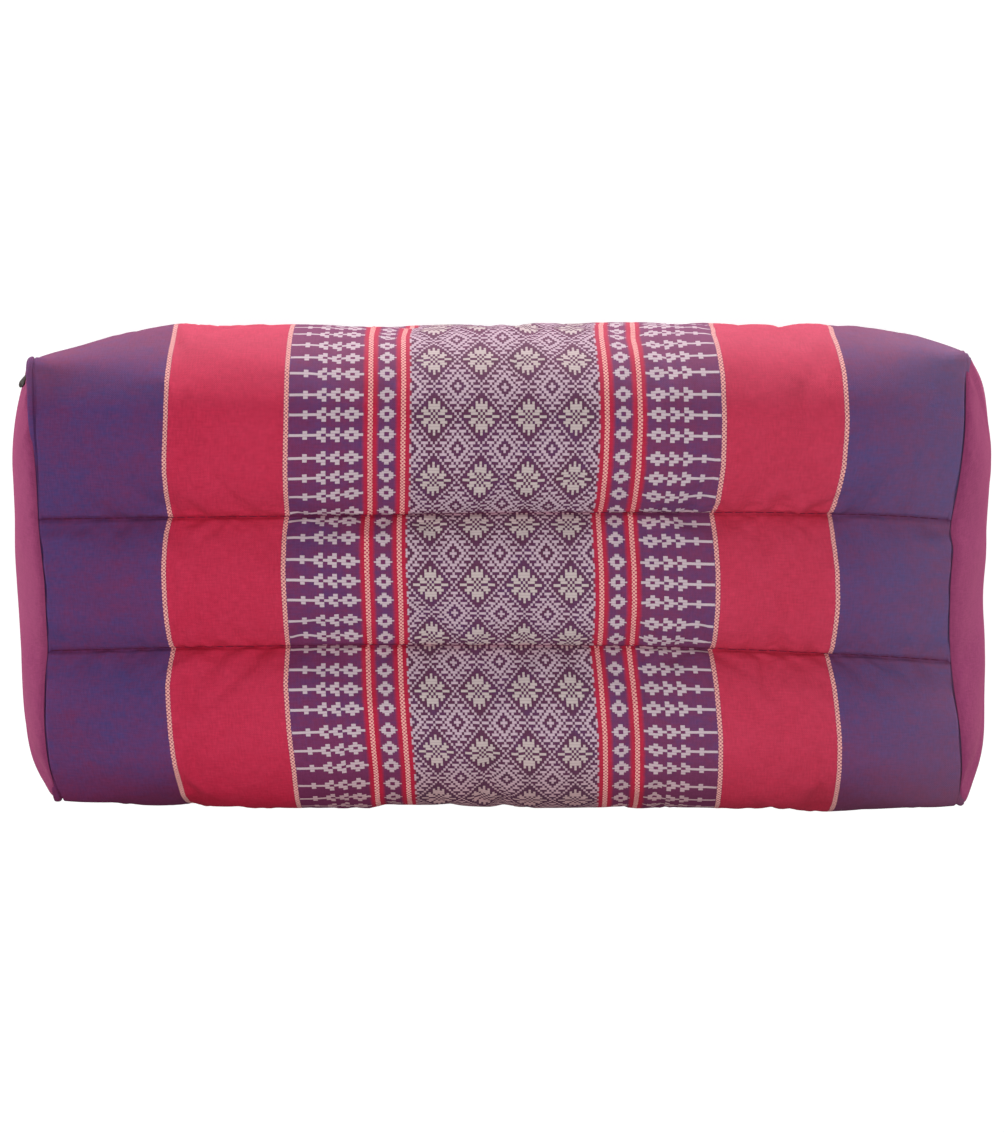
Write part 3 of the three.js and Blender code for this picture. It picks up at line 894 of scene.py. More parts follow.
def panel_skins(side, place):
    """Outer and inner grids of one panel, from its edge to its middle."""
    ring = PANEL_RINGS[:, None]
    outer = end_dome(side, ring, place)
    out_y, out_z = end_outward(place)
    tuck = PANEL_TUCK * np.exp(-(1 - ring) / 0.02)
    outer[..., 1] -= out_y * tuck
    outer[..., 2] -= out_z * tuck
    outer[..., 0] -= side * PANEL_SINK * np.exp(-(1 - ring) / 0.01)
    normal = surface_normals(outer)
    normal *= np.sign(normal[..., :1] * side + 1e-9)
    outer = outer + normal * panel_folds(side, outer, ring, place)[..., None]
    inner = outer - normal * PANEL_THICKNESS * ease((1 - ring) / 0.05 + 0.35)[..., None]
    return outer, inner


def flat_cut(outer, middle):
    """The panel laid flat: the distance along the dome from the middle, in the direction of each point."""
    full = np.concatenate([outer, np.broadcast_to(middle, (1, *outer.shape[1:]))])
    steps = np.linalg.norm(np.diff(full, axis=0), axis=-1)
    distance = np.cumsum(steps[::-1], axis=0)[::-1]
    angle = np.arctan2(outer[..., 2] - HEIGHT / 2, outer[..., 1])
    return np.stack([distance * np.cos(angle), distance * np.sin(angle)], axis=-1)


print("panel rings:", len(PANEL_RINGS))

# %% Build both panels


def build_panel(side, name):
    """One end panel as a closed skin, with its flat cut as the cloth map."""
    place, _ = columns(*PANEL_COLUMNS)
    outer, inner = panel_skins(side, place)
    middle = end_dome(side, np.array(0.0), np.array(0.0))
    behind = middle - (side * PANEL_THICKNESS, 0, 0)
    skins = (outer, inner) if side > 0 else (inner, outer)
    poles = (middle, behind) if side > 0 else (behind, middle)
    rings = np.concatenate([skins[1][::-1], skins[0]])
    panel = closed_stack(name, rings, poles[1], poles[0])
    flat = flat_cut(outer, middle)
    flat_rings = np.concatenate([flat[::-1], flat])
    quads = quad_corners(np.concatenate([flat_rings, flat_rings[:, :1]], axis=1)).reshape(-1, 2)
    inner_ring, outer_ring = flat_rings[0], flat_rings[-1]
    zero = np.zeros((len(place), 2))
    first = np.stack([zero, np.roll(inner_ring, -1, axis=0), inner_ring], axis=1).reshape(-1, 2)
    last = np.stack([zero, outer_ring, np.roll(outer_ring, -1, axis=0)], axis=1).reshape(-1, 2)
    lay_map(panel, "cloth_mm", np.vstack([quads, first, last]))
    cut = np.ptp(flat.reshape(-1, 2), axis=0)
    print(name, "flat cut", np.round(cut, 1), "mm; faces:", len(panel.data.polygons))
    return panel


end_cloth_left = build_panel(-1, "end_cloth_left")
end_cloth_right = build_panel(1, "end_cloth_right")

# %% [markdown]
# ## The pull tab
#
# The tip of the zip's pull is a small dark metal tab with a narrow neck and a round, thicker end. A tab
# like this is cast, so its edges are soft. It is lofted: a flattened oval section whose width and
# thickness are read along the tab, carried along the line of its frame node.

# %% Build the pull tab


def build_tab():
    """Loft of ovals: the width swells from the neck to a round tip, and the tip has a shallow dimple."""
    low, high = (np.array(v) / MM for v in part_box("zip_pull"))
    neck = np.array([high[0] + 3.6, high[1] - 1.6, high[2] - 1.6])
    tip = np.array([low[0] + 2.3, low[1] + 0.6, low[2] + 0.9])
    along = (neck - tip) / np.linalg.norm(neck - tip)
    faces = np.array([-0.45, 0.25, 0.85])
    across = np.cross(along, faces)
    across /= np.linalg.norm(across)
    off = np.cross(across, along)
    share = np.linspace(0, 1, 41)[1:-1, None]
    angle = np.linspace(0, 2 * np.pi, 40, endpoint=False)
    width = (0.7 + 0.5 * ease((share - 0.25) / 0.5)) * np.minimum(1, (1 - share) / 0.16) ** 0.5
    width = width * np.minimum(1, share / 0.05) ** 0.5
    thick = 0.55 * np.minimum(1, np.minimum(share / 0.05, (1 - share) / 0.08)) ** 0.5
    rim = np.abs(np.cos(angle)) ** 4
    dimple = 1 - 0.45 * (1 - rim) * np.exp(-(((share - 0.78) / 0.12) ** 2))
    wide = np.sign(np.cos(angle)) * np.abs(np.cos(angle)) ** 0.7 * width
    deep = np.sign(np.sin(angle)) * np.abs(np.sin(angle)) ** 0.6 * thick * dimple
    centre = neck + (tip - neck) * share[..., None]
    rings = centre + across * wide[..., None] + off * deep[..., None]
    return closed_stack("pull_tab", rings, neck, tip)


pull_tab = build_tab()
print("pull_tab:", len(pull_tab.data.polygons), "faces")

# %% [markdown]
# ## Stitches
#
# The channels are held by a running stitch that sits deep in each crease. A stitch is a short bar of thread
# with round ends. One bar is worked out once, and numpy places all of them with one expression, each
# turned to its own seam.

# %% One bar of thread
BAR_RINGS = np.array([(-1.0, 0.35), (-0.8, 0.85), (0.0, 1.0), (0.8, 0.85), (1.0, 0.35)])
BAR_SIDES = 6
STITCH_LENGTH, STITCH_RADIUS = 3.1, 0.22
STITCH_SPACING, FIRST_STITCH = 3.9, 2.0
STITCH_LIFT = 0.05  # a hair off the cloth


def stitch_bars(centres, ahead, outward, length, radius):
    """Bars of thread: the ring profile turned about each seam's direction, flattened towards the cloth."""
    side = np.cross(ahead, outward)
    side /= np.linalg.norm(side, axis=1, keepdims=True)
    up = np.cross(side, ahead)
    angle = np.arange(BAR_SIDES) * 2 * np.pi / BAR_SIDES
    ring = BAR_RINGS[:, 1][:, None]
    local = np.stack(
        [
            np.broadcast_to(BAR_RINGS[:, 0][:, None] * length / 2, (len(BAR_RINGS), BAR_SIDES)),
            ring * np.cos(angle) * radius,
            ring * np.sin(angle) * radius * 0.75,
        ],
        axis=-1,
    ).reshape(-1, 3)
    basis = np.stack([ahead, side, up], axis=1)
    return centres[:, None] + np.einsum("kj,njc->nkc", local, basis)


def bar_faces(count):
    """Quads and end caps of every bar, as vertex numbers."""
    block = len(BAR_RINGS) * BAR_SIDES
    quads = ring_faces(len(BAR_RINGS), BAR_SIDES)
    last = (len(BAR_RINGS) - 1) * BAR_SIDES
    ends = np.array([[0, 1, 2, 3], [0, 3, 4, 5]])
    caps = np.vstack([ends[:, ::-1], ends + last])
    faces = np.vstack([quads, caps])
    return (faces[None] + (np.arange(count) * block)[:, None, None]).reshape(-1, 4)


print("one stitch:", len(BAR_RINGS) * BAR_SIDES, "points")

# %% Place the stitches


def evenly_along(line, spacing, start):
    """Points, and directions, at even spacing along a line of points."""
    steps = np.linalg.norm(np.diff(line, axis=0), axis=1)
    distance = np.concatenate([[0], np.cumsum(steps)])
    where = np.arange(start, distance[-1] - start, spacing)
    points = np.stack([np.interp(where, distance, line[:, k]) for k in range(3)], axis=1)
    beyond = np.stack([np.interp(where + 0.4, distance, line[:, k]) for k in range(3)], axis=1)
    ahead = beyond - points
    return points, ahead / np.linalg.norm(ahead, axis=1, keepdims=True)


def seam_stitches():
    """Stitches in the crease of all six long seams."""
    starts = np.concatenate([[0], np.cumsum(fine_counts)[:-1]])
    normals = surface_normals(fine_points)
    bars = []
    for column in starts:
        centres, ahead = evenly_along(fine_points[:, column], STITCH_SPACING, FIRST_STITCH)
        nearest = np.argmin(np.abs(centres[:, :1] - fine_points[:, column, 0]), axis=1)
        outward = normals[nearest, column]
        centres = centres + outward * STITCH_LIFT
        bars.append(stitch_bars(centres, ahead, outward, STITCH_LENGTH, STITCH_RADIUS))
    return np.concatenate(bars)


def build_stitches(name, bars):
    """All the bars of one kind as one mesh."""
    piece = mesh_from_arrays(name, bars.reshape(-1, 3), bar_faces(len(bars)))
    print(name, "stitches:", len(bars), "faces:", len(piece.data.polygons))
    return piece


channel_stitching = build_stitches("channel_stitching", seam_stitches())

# %% [markdown]
# ## Node helpers
#
# The woven pattern is arithmetic on the cloth's own millimetres, so the shader is a long sum. A small class
# wraps a node's output, so that the sum can be written with plus, minus and times: each sign makes one Math
# node. The other helpers mix two colours, make noise, and put a node group to use.

# %% Node values


def srgb(red, green, blue):
    """A colour given as it looks on a screen (0 to 255), as the linear value that shaders use."""
    share = np.array([red, green, blue]) / 255
    linear = np.where(share <= 0.04045, share / 12.92, ((share + 0.055) / 1.055) ** 2.4)
    return (*linear.tolist(), 1.0)


class Value:
    """A node's output that is added, subtracted, multiplied and divided like a plain number."""

    def __init__(self, tree, socket):
        self.tree = tree
        self.socket = socket

    def __add__(self, other):
        return maths("ADD", self, other)

    def __sub__(self, other):
        return maths("SUBTRACT", self, other)

    def __rsub__(self, other):
        return maths("SUBTRACT", other, self)

    def __mul__(self, other):
        return maths("MULTIPLY", self, other)

    def __truediv__(self, other):
        return maths("DIVIDE", self, other)

    def __mod__(self, other):
        return maths("FLOORED_MODULO", self, other)

    def __abs__(self):
        return maths("ABSOLUTE", self)

    __radd__, __rmul__ = __add__, __mul__


def tree_of(*values):
    """The node tree of the first of these that is a node's output."""
    return next(value.tree for value in values if isinstance(value, Value))


def join(value, socket):
    """Links a node's output to a socket, or writes a plain value on it."""
    if isinstance(value, Value):
        value.tree.links.new(value.socket, socket)
    else:
        socket.default_value = value


def maths(operation, *values):
    """One Math node; each value is a number or another node's output."""
    tree = tree_of(*values)
    node = tree.nodes.new("ShaderNodeMath")
    node.operation = operation
    for socket, value in zip(node.inputs, values):
        join(value, socket)
    return Value(tree, node.outputs[0])


def clamp(value):
    """The value held between 0 and 1."""
    return maths("MINIMUM", maths("MAXIMUM", value, 0.0), 1.0)


print("node values ready")

# %% Colours, noise and groups


def blend(factor, first, second, how="MIX"):
    """Mixes two colours by a factor."""
    tree = tree_of(factor, first, second)
    node = tree.nodes.new("ShaderNodeMix")
    node.data_type = "RGBA"
    node.blend_type = how
    node.clamp_factor = True
    for index, value in ((0, factor), (6, first), (7, second)):
        join(value, node.inputs[index])
    return Value(tree, node.outputs[2])


def noise(across, around, grain_across, grain_around, detail=2.0, level=0.0):
    """Noise whose grains are so many millimetres across and round; each level is another pattern."""
    tree = tree_of(across)
    place = tree.nodes.new("ShaderNodeCombineXYZ")
    for socket, value in zip(place.inputs, (across / grain_across, around / grain_around, level)):
        join(value, socket)
    return noise_at(Value(tree, place.outputs[0]), 1.0, detail)


def noise_at(position, scale, detail=2.0):
    """Noise read at a position."""
    tree = tree_of(position)
    node = tree.nodes.new("ShaderNodeTexNoise")
    node.inputs["Scale"].default_value = scale
    node.inputs["Detail"].default_value = detail
    join(position, node.inputs["Vector"])
    return Value(tree, node.outputs["Fac"])


def new_group(name, inputs, outputs):
    """An empty node group with named sockets: the group, its inputs as values, and its result's sockets."""
    group = bpy.data.node_groups.new(name, "ShaderNodeTree")
    for socket, value in inputs.items():
        made = group.interface.new_socket(socket, in_out="INPUT", socket_type="NodeSocketFloat")
        made.default_value = value
    for socket, kind in outputs.items():
        group.interface.new_socket(socket, in_out="OUTPUT", socket_type=kind)
    source = group.nodes.new("NodeGroupInput")
    result = group.nodes.new("NodeGroupOutput")
    given = [Value(group, source.outputs[socket]) for socket in inputs]
    return group, given, result.inputs


def use_group(group, **values):
    """Places a group in the tree of its values, joins them, and returns the group's outputs by name."""
    tree = tree_of(*values.values())
    node = tree.nodes.new("ShaderNodeGroup")
    node.node_tree = group
    for name, value in values.items():
        join(value, node.inputs[name])
    return {socket.name: Value(tree, socket) for socket in node.outputs}


print("colour, noise and group helpers ready")

# %% [markdown]
# ## Plain weave and shot dye
#
# Both cloths are plain weaves, with warp and weft threads passing over each other like a chessboard. A
# product of two sines gives that relief. The purple of the wrap is a shot cloth: warp and weft have
# different colours, so it is mottled with short streaks in both directions. The panels and the wrap share
# both effects, so each one is a node group.

# %% Shared groups
FLOAT, COLOUR = "NodeSocketFloat", "NodeSocketColor"
THREAD_PITCH = 0.4  # millimetres from thread to thread
SLUB_LONG, SLUB_THIN = 3.4, 0.6  # a slub is a short thick place in a thread
DYE_GRAINS = [
    # weight, millimetres across and round, detail, level: patches, blots, and streaks in both directions
    (1.0, 26.0, 32.0, 3.0, 5.0),
    (0.9, 5.0, 3.6, 3.0, 6.5),
    (0.6, 4.5, 0.9, 2.0, 8.0),
    (0.6, 0.9, 4.0, 2.0, 11.0),
]


def weave_group():
    """Thread relief: half plus half the product of two sines of the cloth's millimetres."""
    inputs, outputs = {"Across": 0, "Round": 0, "Pitch": THREAD_PITCH}, {"Height": FLOAT, "Shade": FLOAT}
    group, (across, around, pitch), result = new_group("plain_weave", inputs, outputs)
    turn = maths("DIVIDE", np.pi, pitch)
    over = maths("SINE", across * turn) * maths("SINE", around * turn)
    height = over * 0.5 + 0.5
    slubs = noise(across, around, SLUB_LONG, SLUB_THIN)
    slubs = slubs + noise(across, around, SLUB_THIN, SLUB_LONG, level=3.0)
    join(slubs * 0.6 + height * 0.5, result["Height"])
    # Shade is a painted shade in the weave's low places, with the slubs' own uneven tone.
    join(slubs * 0.36 + height * 0.12 + 0.57, result["Shade"])
    return group


def dye_group():
    """How far the shot cloth leans to its second colour: the grains of dye, weighed and added up."""
    group, (across, around), result = new_group("shot_dye", {"Across": 0, "Round": 0}, {"Lean": FLOAT})
    grains = [noise(across, around, *grain) * weight for weight, *grain in DYE_GRAINS]
    join(sum(grains) - 1.2, result["Lean"])
    return group


plain_weave, shot_dye = weave_group(), dye_group()
print("groups:", plain_weave.name, shot_dye.name)

# %% [markdown]
# ## The charts of the brocade
#
# The motifs are woven in with a pale extra thread, and a weaver reads them from squared paper: one square
# is a crossing where the pale thread shows. The charts are small, because the patterns fold over on
# themselves. The shader can't hold a list, but it can hold numbers: each chart row is written as one whole
# number with a binary digit for each square, and the digit is read back with a division and a remainder.

# %% The charts
LATTICE_CHART = [  # from the flower's middle down to the small diamond's, and outwards from its middle
    ".#...###..#",
    "#.###....#.",
    ".#.###..#..",
    "###.#..#.##",
    "###...#...#",
    "#.#..#.###.",
    "#...#...#.#",
    "...#.###.##",
    "..#...#.##.",
    ".#.###.##..",
    "#...#.##..#",
    ".###.##..##",
]
SPRAY_CHART = [  # beads and flowers strung on a line: the line's own row, then the two rows beside it
    "##############..####..####..####",
    "......##....####..####..######..",
    "..............##....##....##....",
]
FLOWER_CHART = [  # in half rows, from the flower's middle
    "###..###",
    ".##..##.",
    ".######.",
    "..####..",
    "...##...",
    "...##...",
]
CHART_DIGITS = 16  # a shader's number keeps this many squares exactly, so a longer row is split


def row_number(squares):
    """A chart row as a whole number: square k adds two to the power k."""
    return float(sum(2**k for k, square in enumerate(squares) if square == "#"))


def chart_rows(row, chart, first=0, last=None):
    """The number of the chart row that `row` names: each candidate is switched on where it matches."""
    numbers = [row_number(squares[first:last]) for squares in chart]
    return sum(maths("COMPARE", row, float(index), 0.5) * number for index, number in enumerate(numbers))


def digit_group():
    """Reads one binary digit: the number over two to the column, rounded down, is odd or even."""
    group, (number, column), result = new_group("chart_square", {"Number": 0, "Column": 0}, {"Thread": FLOAT})
    column = maths("MINIMUM", maths("MAXIMUM", column, 0.0), float(CHART_DIGITS))
    half_up = number + 0.5  # keeps the division clear of whole numbers
    shifted = maths("FLOOR", half_up / maths("POWER", 2.0, column))
    join(shifted % 2.0, result["Thread"])
    return group


chart_square = digit_group()
print("lattice rows as numbers:", [int(row_number(r)) for r in LATTICE_CHART])

# %% [markdown]
# ## The bands of the wrap
#
# The cloth is the same on both sides of its centre line, so the shader folds it there. Each band is a
# distance from that line and a width. The outer bands are purple and red, split by thin cream stripes
# of plied thread, and the middle carries the brocade.

# %% Bands and dyes
BROCADE_HALF = 35.1
SPRAY_BAND = (52.6, 80.4)
FLOWER_BAND = (40.4, 47.4)
RED_BANDS = [(82.3, 125.7)]
RED_LINES = [(35.1, 40.4), (47.4, 52.6)]  # the thin reds either side of a cream stripe, softly edged
CREAM_BANDS = [(36.9, 38.7), (49.15, 50.95), (80.6, 82.3), (125.7, 127.35)]
INNER_STRIPES = 60.0  # the cream stripes nearer than this lie on a redder ground
SOFT_EDGE, LINE_EDGE = 0.5, 1.3
VIOLET, PLUM = srgb(84, 65, 119), srgb(120, 54, 94)
WINE = srgb(88, 54, 74)  # the brocade's own ground, under its close pale threads
RED, RED_DEEP = srgb(203, 58, 88), srgb(182, 32, 60)
CREAM = srgb(247, 181, 170)
CREAM_GROUND = srgb(180, 66, 90), srgb(164, 90, 106)  # between the pale dots: inner stripes, outer stripes
PLY_WIDTH, PLY_PITCH = 0.75, 1.42  # millimetres across one ply and along one dot
DOT_SHARE = 0.58  # of a dot's pitch is cream
PETAL, LILAC, BEAD = srgb(204, 190, 184), srgb(204, 179, 192), srgb(206, 187, 195)
PALE_IN_PAINTED_SHADE = srgb(196, 146, 150)  # the pale thread in painted shade, rosier and dimmer
# Pale dust, which also paints a haze that grows towards the right end.
DUST_AND_HAZE = srgb(206, 196, 212)
FACE_MIDDLE = 71.8  # millimetres round the cloth
# Painted shade: beside the face's seams and over the -Y long edge the colour leans to plum and the pale
# thread dims.
PAINTED_TURN_SHADES = [
    # millimetres round from the face's middle, half width, how far the painted shade leans the colour to plum
    # there
    (-28.6, 9.0, 0.3),
    (28.6, 9.0, 0.3),
    (114.0, 56.0, 1.3),
]
# Painted light along the long sides: a plum sheen and a pale sheen over the +Y side, and a dark plum shade
# over the -Y side.
LONG_SIDES = {
    # what happens there: (millimetres round from the face's middle, width of its edge, how much)
    "painted_plum_sheen": ((-262.0, -106.0), 42.0, 0.85),
    "painted_pale_sheen": ((-262.0, -90.0), 30.0, 0.16),
    "painted_shade": ((82.0, 250.0), 20.0, 0.6),
}
# The pale colour of the painted sheen, and the dark plum of the painted shade.
PAINTED_SHEEN_PALE, PAINTED_SHADE_PLUM = srgb(174, 146, 161), srgb(98, 32, 64)
print("bands:", 2 * len(CREAM_BANDS), "cream stripes, brocade", 2 * BROCADE_HALF, "mm wide")

# %% Masks of bands


def between(value, band):
    """1 inside a band of the folded cloth, 0 outside it."""
    low, high = band
    return maths("COMPARE", value, (low + high) / 2, (high - low) / 2)


def soft_band(value, band, edge=SOFT_EDGE):
    """Like between, but each edge takes some millimetres, as where two dyed threads cross."""
    low, high = band
    inside = (high - low) / 2 - abs(value - (low + high) / 2)
    return clamp(inside * (1 / edge) + 0.5)


def bell(value, centre, half_width, height):
    """A smooth hump: the square of one less the share of the half width, never below nothing."""
    share = maths("MAXIMUM", 1.0 - abs(value - centre) * (1 / half_width), 0.0)
    return share * share * height


def long_side(name, from_middle):
    """How strongly one of the painted sheens or the painted shade along a long side shows at each point."""
    band, edge, amount = LONG_SIDES[name]
    return soft_band(from_middle, band, edge) * amount


print("changes on the long sides:", list(LONG_SIDES))

# %% The pale thread
MOTIF_ROWS = (-1.0, 6.0, 14.0, 21.0)  # sprays and single flowers stand on these rows of every 22
REPEAT_ROWS = 22.0


def chart_thread(row, chart, column, first=0, last=None):
    """1 where the chart has its pale thread."""
    number = chart_rows(row, chart, first, last)
    return use_group(chart_square, Number=number, Column=column)["Thread"]


def lattice_thread(folded, row):
    """The lattice of flowers and diamonds, and which of its squares are petals. Both of its directions fold
    over: every 10 squares across and every 11 rows."""
    counted = maths("FLOOR", folded * (40 / BROCADE_HALF) + 0.5)
    column = 10.0 - maths("PINGPONG", counted, 10.0)
    row = maths("PINGPONG", row, REPEAT_ROWS / 2)
    return chart_thread(row, LATTICE_CHART, column), maths("LESS_THAN", row + column, 8.5)


def rows_from_motif(row, offset=0.0):
    """How many rows away the nearest spray or flower is."""
    repeat = row % REPEAT_ROWS
    apart = [abs(repeat - (centre + offset)) for centre in MOTIF_ROWS]
    nearest = apart[0]
    for other in apart[1:]:
        nearest = maths("MINIMUM", nearest, other)
    return nearest


def spray_thread(folded, row):
    """The sprays. Their chart is twice as wide as a number can hold, so it is read in two halves."""
    low, high = SPRAY_BAND
    column = maths("FLOOR", (high - folded) * (2 * CHART_DIGITS / (high - low)))
    second = maths("GREATER_THAN", column, CHART_DIGITS - 0.5)
    near = rows_from_motif(row)
    outer = chart_rows(near, SPRAY_CHART, 0, CHART_DIGITS)
    inner = chart_rows(near, SPRAY_CHART, CHART_DIGITS)
    number = outer + second * (inner - outer)
    column = column - second * float(CHART_DIGITS)
    return use_group(chart_square, Number=number, Column=column)["Thread"] * between(folded, SPRAY_BAND)


def flower_thread(folded, passed):
    """The single flowers, which are read in half rows from how many rows have passed."""
    low, high = FLOWER_BAND
    column = maths("FLOOR", (folded - low) * (8 / (high - low)))
    half_row = maths("ROUND", rows_from_motif(passed, 0.5) * 2.0)
    return chart_thread(half_row, FLOWER_CHART, column) * between(folded, FLOWER_BAND)


def pale_cover(around, folded, in_brocade):
    """How far the pale thread covers the ground, and where it makes the lattice's petals."""
    passed = around * (1 / ROW_MM) + 0.5
    row = maths("FLOOR", passed)
    lattice, petals = lattice_thread(folded, row)
    thread = lattice * in_brocade + spray_thread(folded, row) + flower_thread(folded, passed)
    # The pale thread is a row thick, less a hair of ground at its two edges.
    in_row = abs(around * (1 / ROW_MM) - row)
    full = 1.0 - maths("POWER", in_row * 2.0, 6.0)
    return thread * (full * 0.45 + 0.55), petals


print("motifs stand on rows", [int(row % REPEAT_ROWS) for row in MOTIF_ROWS], "of", int(REPEAT_ROWS))

# %% The banded cloth


def dyed_ground(across, around, folded, edge, in_brocade, painted_turn_shade):
    """The shot ground and the red bands. The ground leans to plum under the motifs. Painted shade leans it to
    plum and the red deeper beside the seams and over the -Y long edge; a painted sheen leans it to plum over
    the +Y edge."""
    from_middle = around - FACE_MIDDLE
    dye = use_group(shot_dye, Across=across, Round=around)["Lean"]
    patterned = maths("LESS_THAN", folded, SPRAY_BAND[1])
    lean = dye + painted_turn_shade + patterned * 0.45
    # Painted sheen leans the ground to plum over the +Y long side; painted shade darkens it over the -Y long
    # side.
    colour = blend(lean + long_side("painted_plum_sheen", from_middle), VIOLET, PLUM)
    colour = blend(long_side("painted_shade", from_middle), colour, PAINTED_SHADE_PLUM)
    colour = blend(in_brocade * (lean * 0.6 + 0.15), colour, WINE)
    red = blend(dye * -0.6 + (lean + 0.18), RED, RED_DEEP)
    in_red = [soft_band(edge, band) for band in RED_BANDS]
    in_red += [soft_band(edge, band, LINE_EDGE) for band in RED_LINES]
    return blend(sum(in_red), colour, red)


def cream_stripes(colour, around, folded, edge):
    """Two threads plied together: pale dots in columns, each column half a dot on."""
    dots = maths("FLOOR", folded / PLY_WIDTH) * 0.5 + around / PLY_PITCH
    dot = maths("LESS_THAN", dots % 1.0, DOT_SHARE)
    ground = blend(maths("GREATER_THAN", folded, INNER_STRIPES), *CREAM_GROUND)
    in_cream = sum(between(edge, band) for band in CREAM_BANDS)
    return blend(in_cream, colour, blend(dot, ground, CREAM))


def bands_group():
    """Colour, relief and thread mask of the banded cloth, from its millimetres across and round."""
    outputs = {"Colour": COLOUR, "Thread": FLOAT, "Height": FLOAT}
    group, (across, around), result = new_group("banded_brocade", {"Across": 0, "Round": 0}, outputs)
    folded = abs(across)
    # The edges of the bands waver by a thread, because the weft is beaten in by hand.
    edge = folded + (noise(across, around, 40.0, 0.7, 1.0, 2.0) * 0.5 - 0.25)
    in_brocade = maths("LESS_THAN", edge, BROCADE_HALF + 0.3)
    from_middle = around - FACE_MIDDLE
    # Painted shade beside the seams and over the -Y long edge.
    painted_turn_shade = sum(bell(from_middle, *place) for place in PAINTED_TURN_SHADES)
    colour = dyed_ground(across, around, folded, edge, in_brocade, painted_turn_shade)
    colour = cream_stripes(colour, around, folded, edge)
    shade = use_group(plain_weave, Across=across, Round=around)
    colour = blend(1.0, colour, shade["Shade"], "MULTIPLY")

    cover, petals = pale_cover(around, folded, in_brocade)
    pale = blend(petals * 0.8, LILAC, PETAL)
    pale = blend(in_brocade, BEAD, pale)
    # Painted shade: the pale thread turns rosy and dim where the painted shade falls.
    pale_in_shade = maths("MINIMUM", painted_turn_shade * 1.3, 0.8)
    colour = blend(cover, colour, blend(pale_in_shade, pale, PALE_IN_PAINTED_SHADE))

    # A little pale dust all over, and a painted haze that grows towards the right end.
    dust_and_haze = maths("MAXIMUM", across * 0.0001 + 0.012, across * 0.001 - 0.103)
    colour = blend(dust_and_haze, colour, DUST_AND_HAZE)
    # Painted sheen: a pale wash over the +Y long side.
    colour = blend(long_side("painted_pale_sheen", from_middle), colour, PAINTED_SHEEN_PALE)
    join(colour, result["Colour"])
    join(cover, result["Thread"])
    join(cover * 0.9 + shade["Height"], result["Height"])
    return group


banded_brocade = bands_group()
print("banded_brocade nodes:", len(banded_brocade.nodes))

# %% [markdown]
# ## The materials
#
# Every cloth is a Principled shader with a soft sheen, because loose fibres catch the light at a low
# angle. The relief goes in through a Bump node, at the height of real threads. The numbers that are the
# same all over a cloth are written on the shader itself.

# %% Material helpers


def new_material(name, roughness, specular=0.0):
    """A material with a Principled shader, ready for its inputs."""
    material = bpy.data.materials.new(name)
    material.use_nodes = True
    shader = material.node_tree.nodes["Principled BSDF"]
    shader.inputs["Roughness"].default_value = roughness
    shader.inputs["Specular IOR Level"].default_value = specular
    return material, material.node_tree, shader


def cloth_position(tree):
    """The cloth map's two millimetre values."""
    source = tree.nodes.new("ShaderNodeUVMap")
    source.uv_map = "cloth_mm"
    split = tree.nodes.new("ShaderNodeSeparateXYZ")
    tree.links.new(source.outputs[0], split.inputs[0])
    return Value(tree, split.outputs[0]), Value(tree, split.outputs[1])


def own_position(tree):
    """A point's place in the piece's own metres."""
    return Value(tree, tree.nodes.new("ShaderNodeTexCoord").outputs["Object"])


def relief(shader, height, distance):
    """Bump of so many millimetres."""
    tree = tree_of(height)
    bump = tree.nodes.new("ShaderNodeBump")
    bump.inputs["Strength"].default_value = 1.0
    bump.inputs["Distance"].default_value = distance * MM
    join(height, bump.inputs["Height"])
    tree.links.new(bump.outputs[0], shader.inputs["Normal"])


def sheen(shader, weight, roughness, tint):
    """The soft light that loose fibres catch."""
    shader.inputs["Sheen Weight"].default_value = weight
    shader.inputs["Sheen Roughness"].default_value = roughness
    shader.inputs["Sheen Tint"].default_value = tint


print("material helpers ready")

# %% Cloth, thread and metal
PAINTED_CREASE_TINT = (0.62, 0.42, 0.48, 1.0)  # what the painted crease shade multiplies the cloth's colour by
MAGENTA, MAGENTA_PALE = srgb(138, 60, 100), srgb(151, 69, 107)
THREAD_DARK, THREAD_PLUM = srgb(52, 20, 40), srgb(86, 32, 56)
METAL_DARK, METAL_WORN = srgb(16, 11, 10), srgb(64, 49, 41)
WEAVE_RELIEF, TWIST_RELIEF = 0.12, 0.1  # millimetres


def wrap_cloth():
    """The wrap's cloth: the banded brocade, with a painted shade in the seams' creases."""
    material, tree, shader = new_material("banded_cloth", 0.72)
    across, around = cloth_position(tree)
    cloth = use_group(banded_brocade, Across=across, Round=around)
    # Painted shade: the colour is darkened where the creases of the long seams lie.
    crease = tree.nodes.new("ShaderNodeAttribute")
    crease.attribute_name = "painted_crease_shade"
    painted_crease_shade = Value(tree, crease.outputs["Fac"])
    join(blend(painted_crease_shade, cloth["Colour"], PAINTED_CREASE_TINT, "MULTIPLY"), shader.inputs["Base Color"])
    join(cloth["Thread"] * -0.18 + 0.74, shader.inputs["Roughness"])
    relief(shader, cloth["Height"], WEAVE_RELIEF)
    sheen(shader, 0.03, 0.5, srgb(255, 205, 220))
    return material


def panel_cloth():
    """The end panels' plain magenta, a little uneven in its dye."""
    material, tree, shader = new_material("magenta_cloth", 0.8)
    across, around = cloth_position(tree)
    weave = use_group(plain_weave, Across=across, Round=around)
    lean = use_group(shot_dye, Across=across, Round=around)["Lean"]
    colour = blend(1.0, blend(lean, MAGENTA, MAGENTA_PALE), weave["Shade"], "MULTIPLY")
    join(colour, shader.inputs["Base Color"])
    relief(shader, weave["Height"], WEAVE_RELIEF)
    sheen(shader, 0.25, 0.45, srgb(255, 158, 184))
    return material


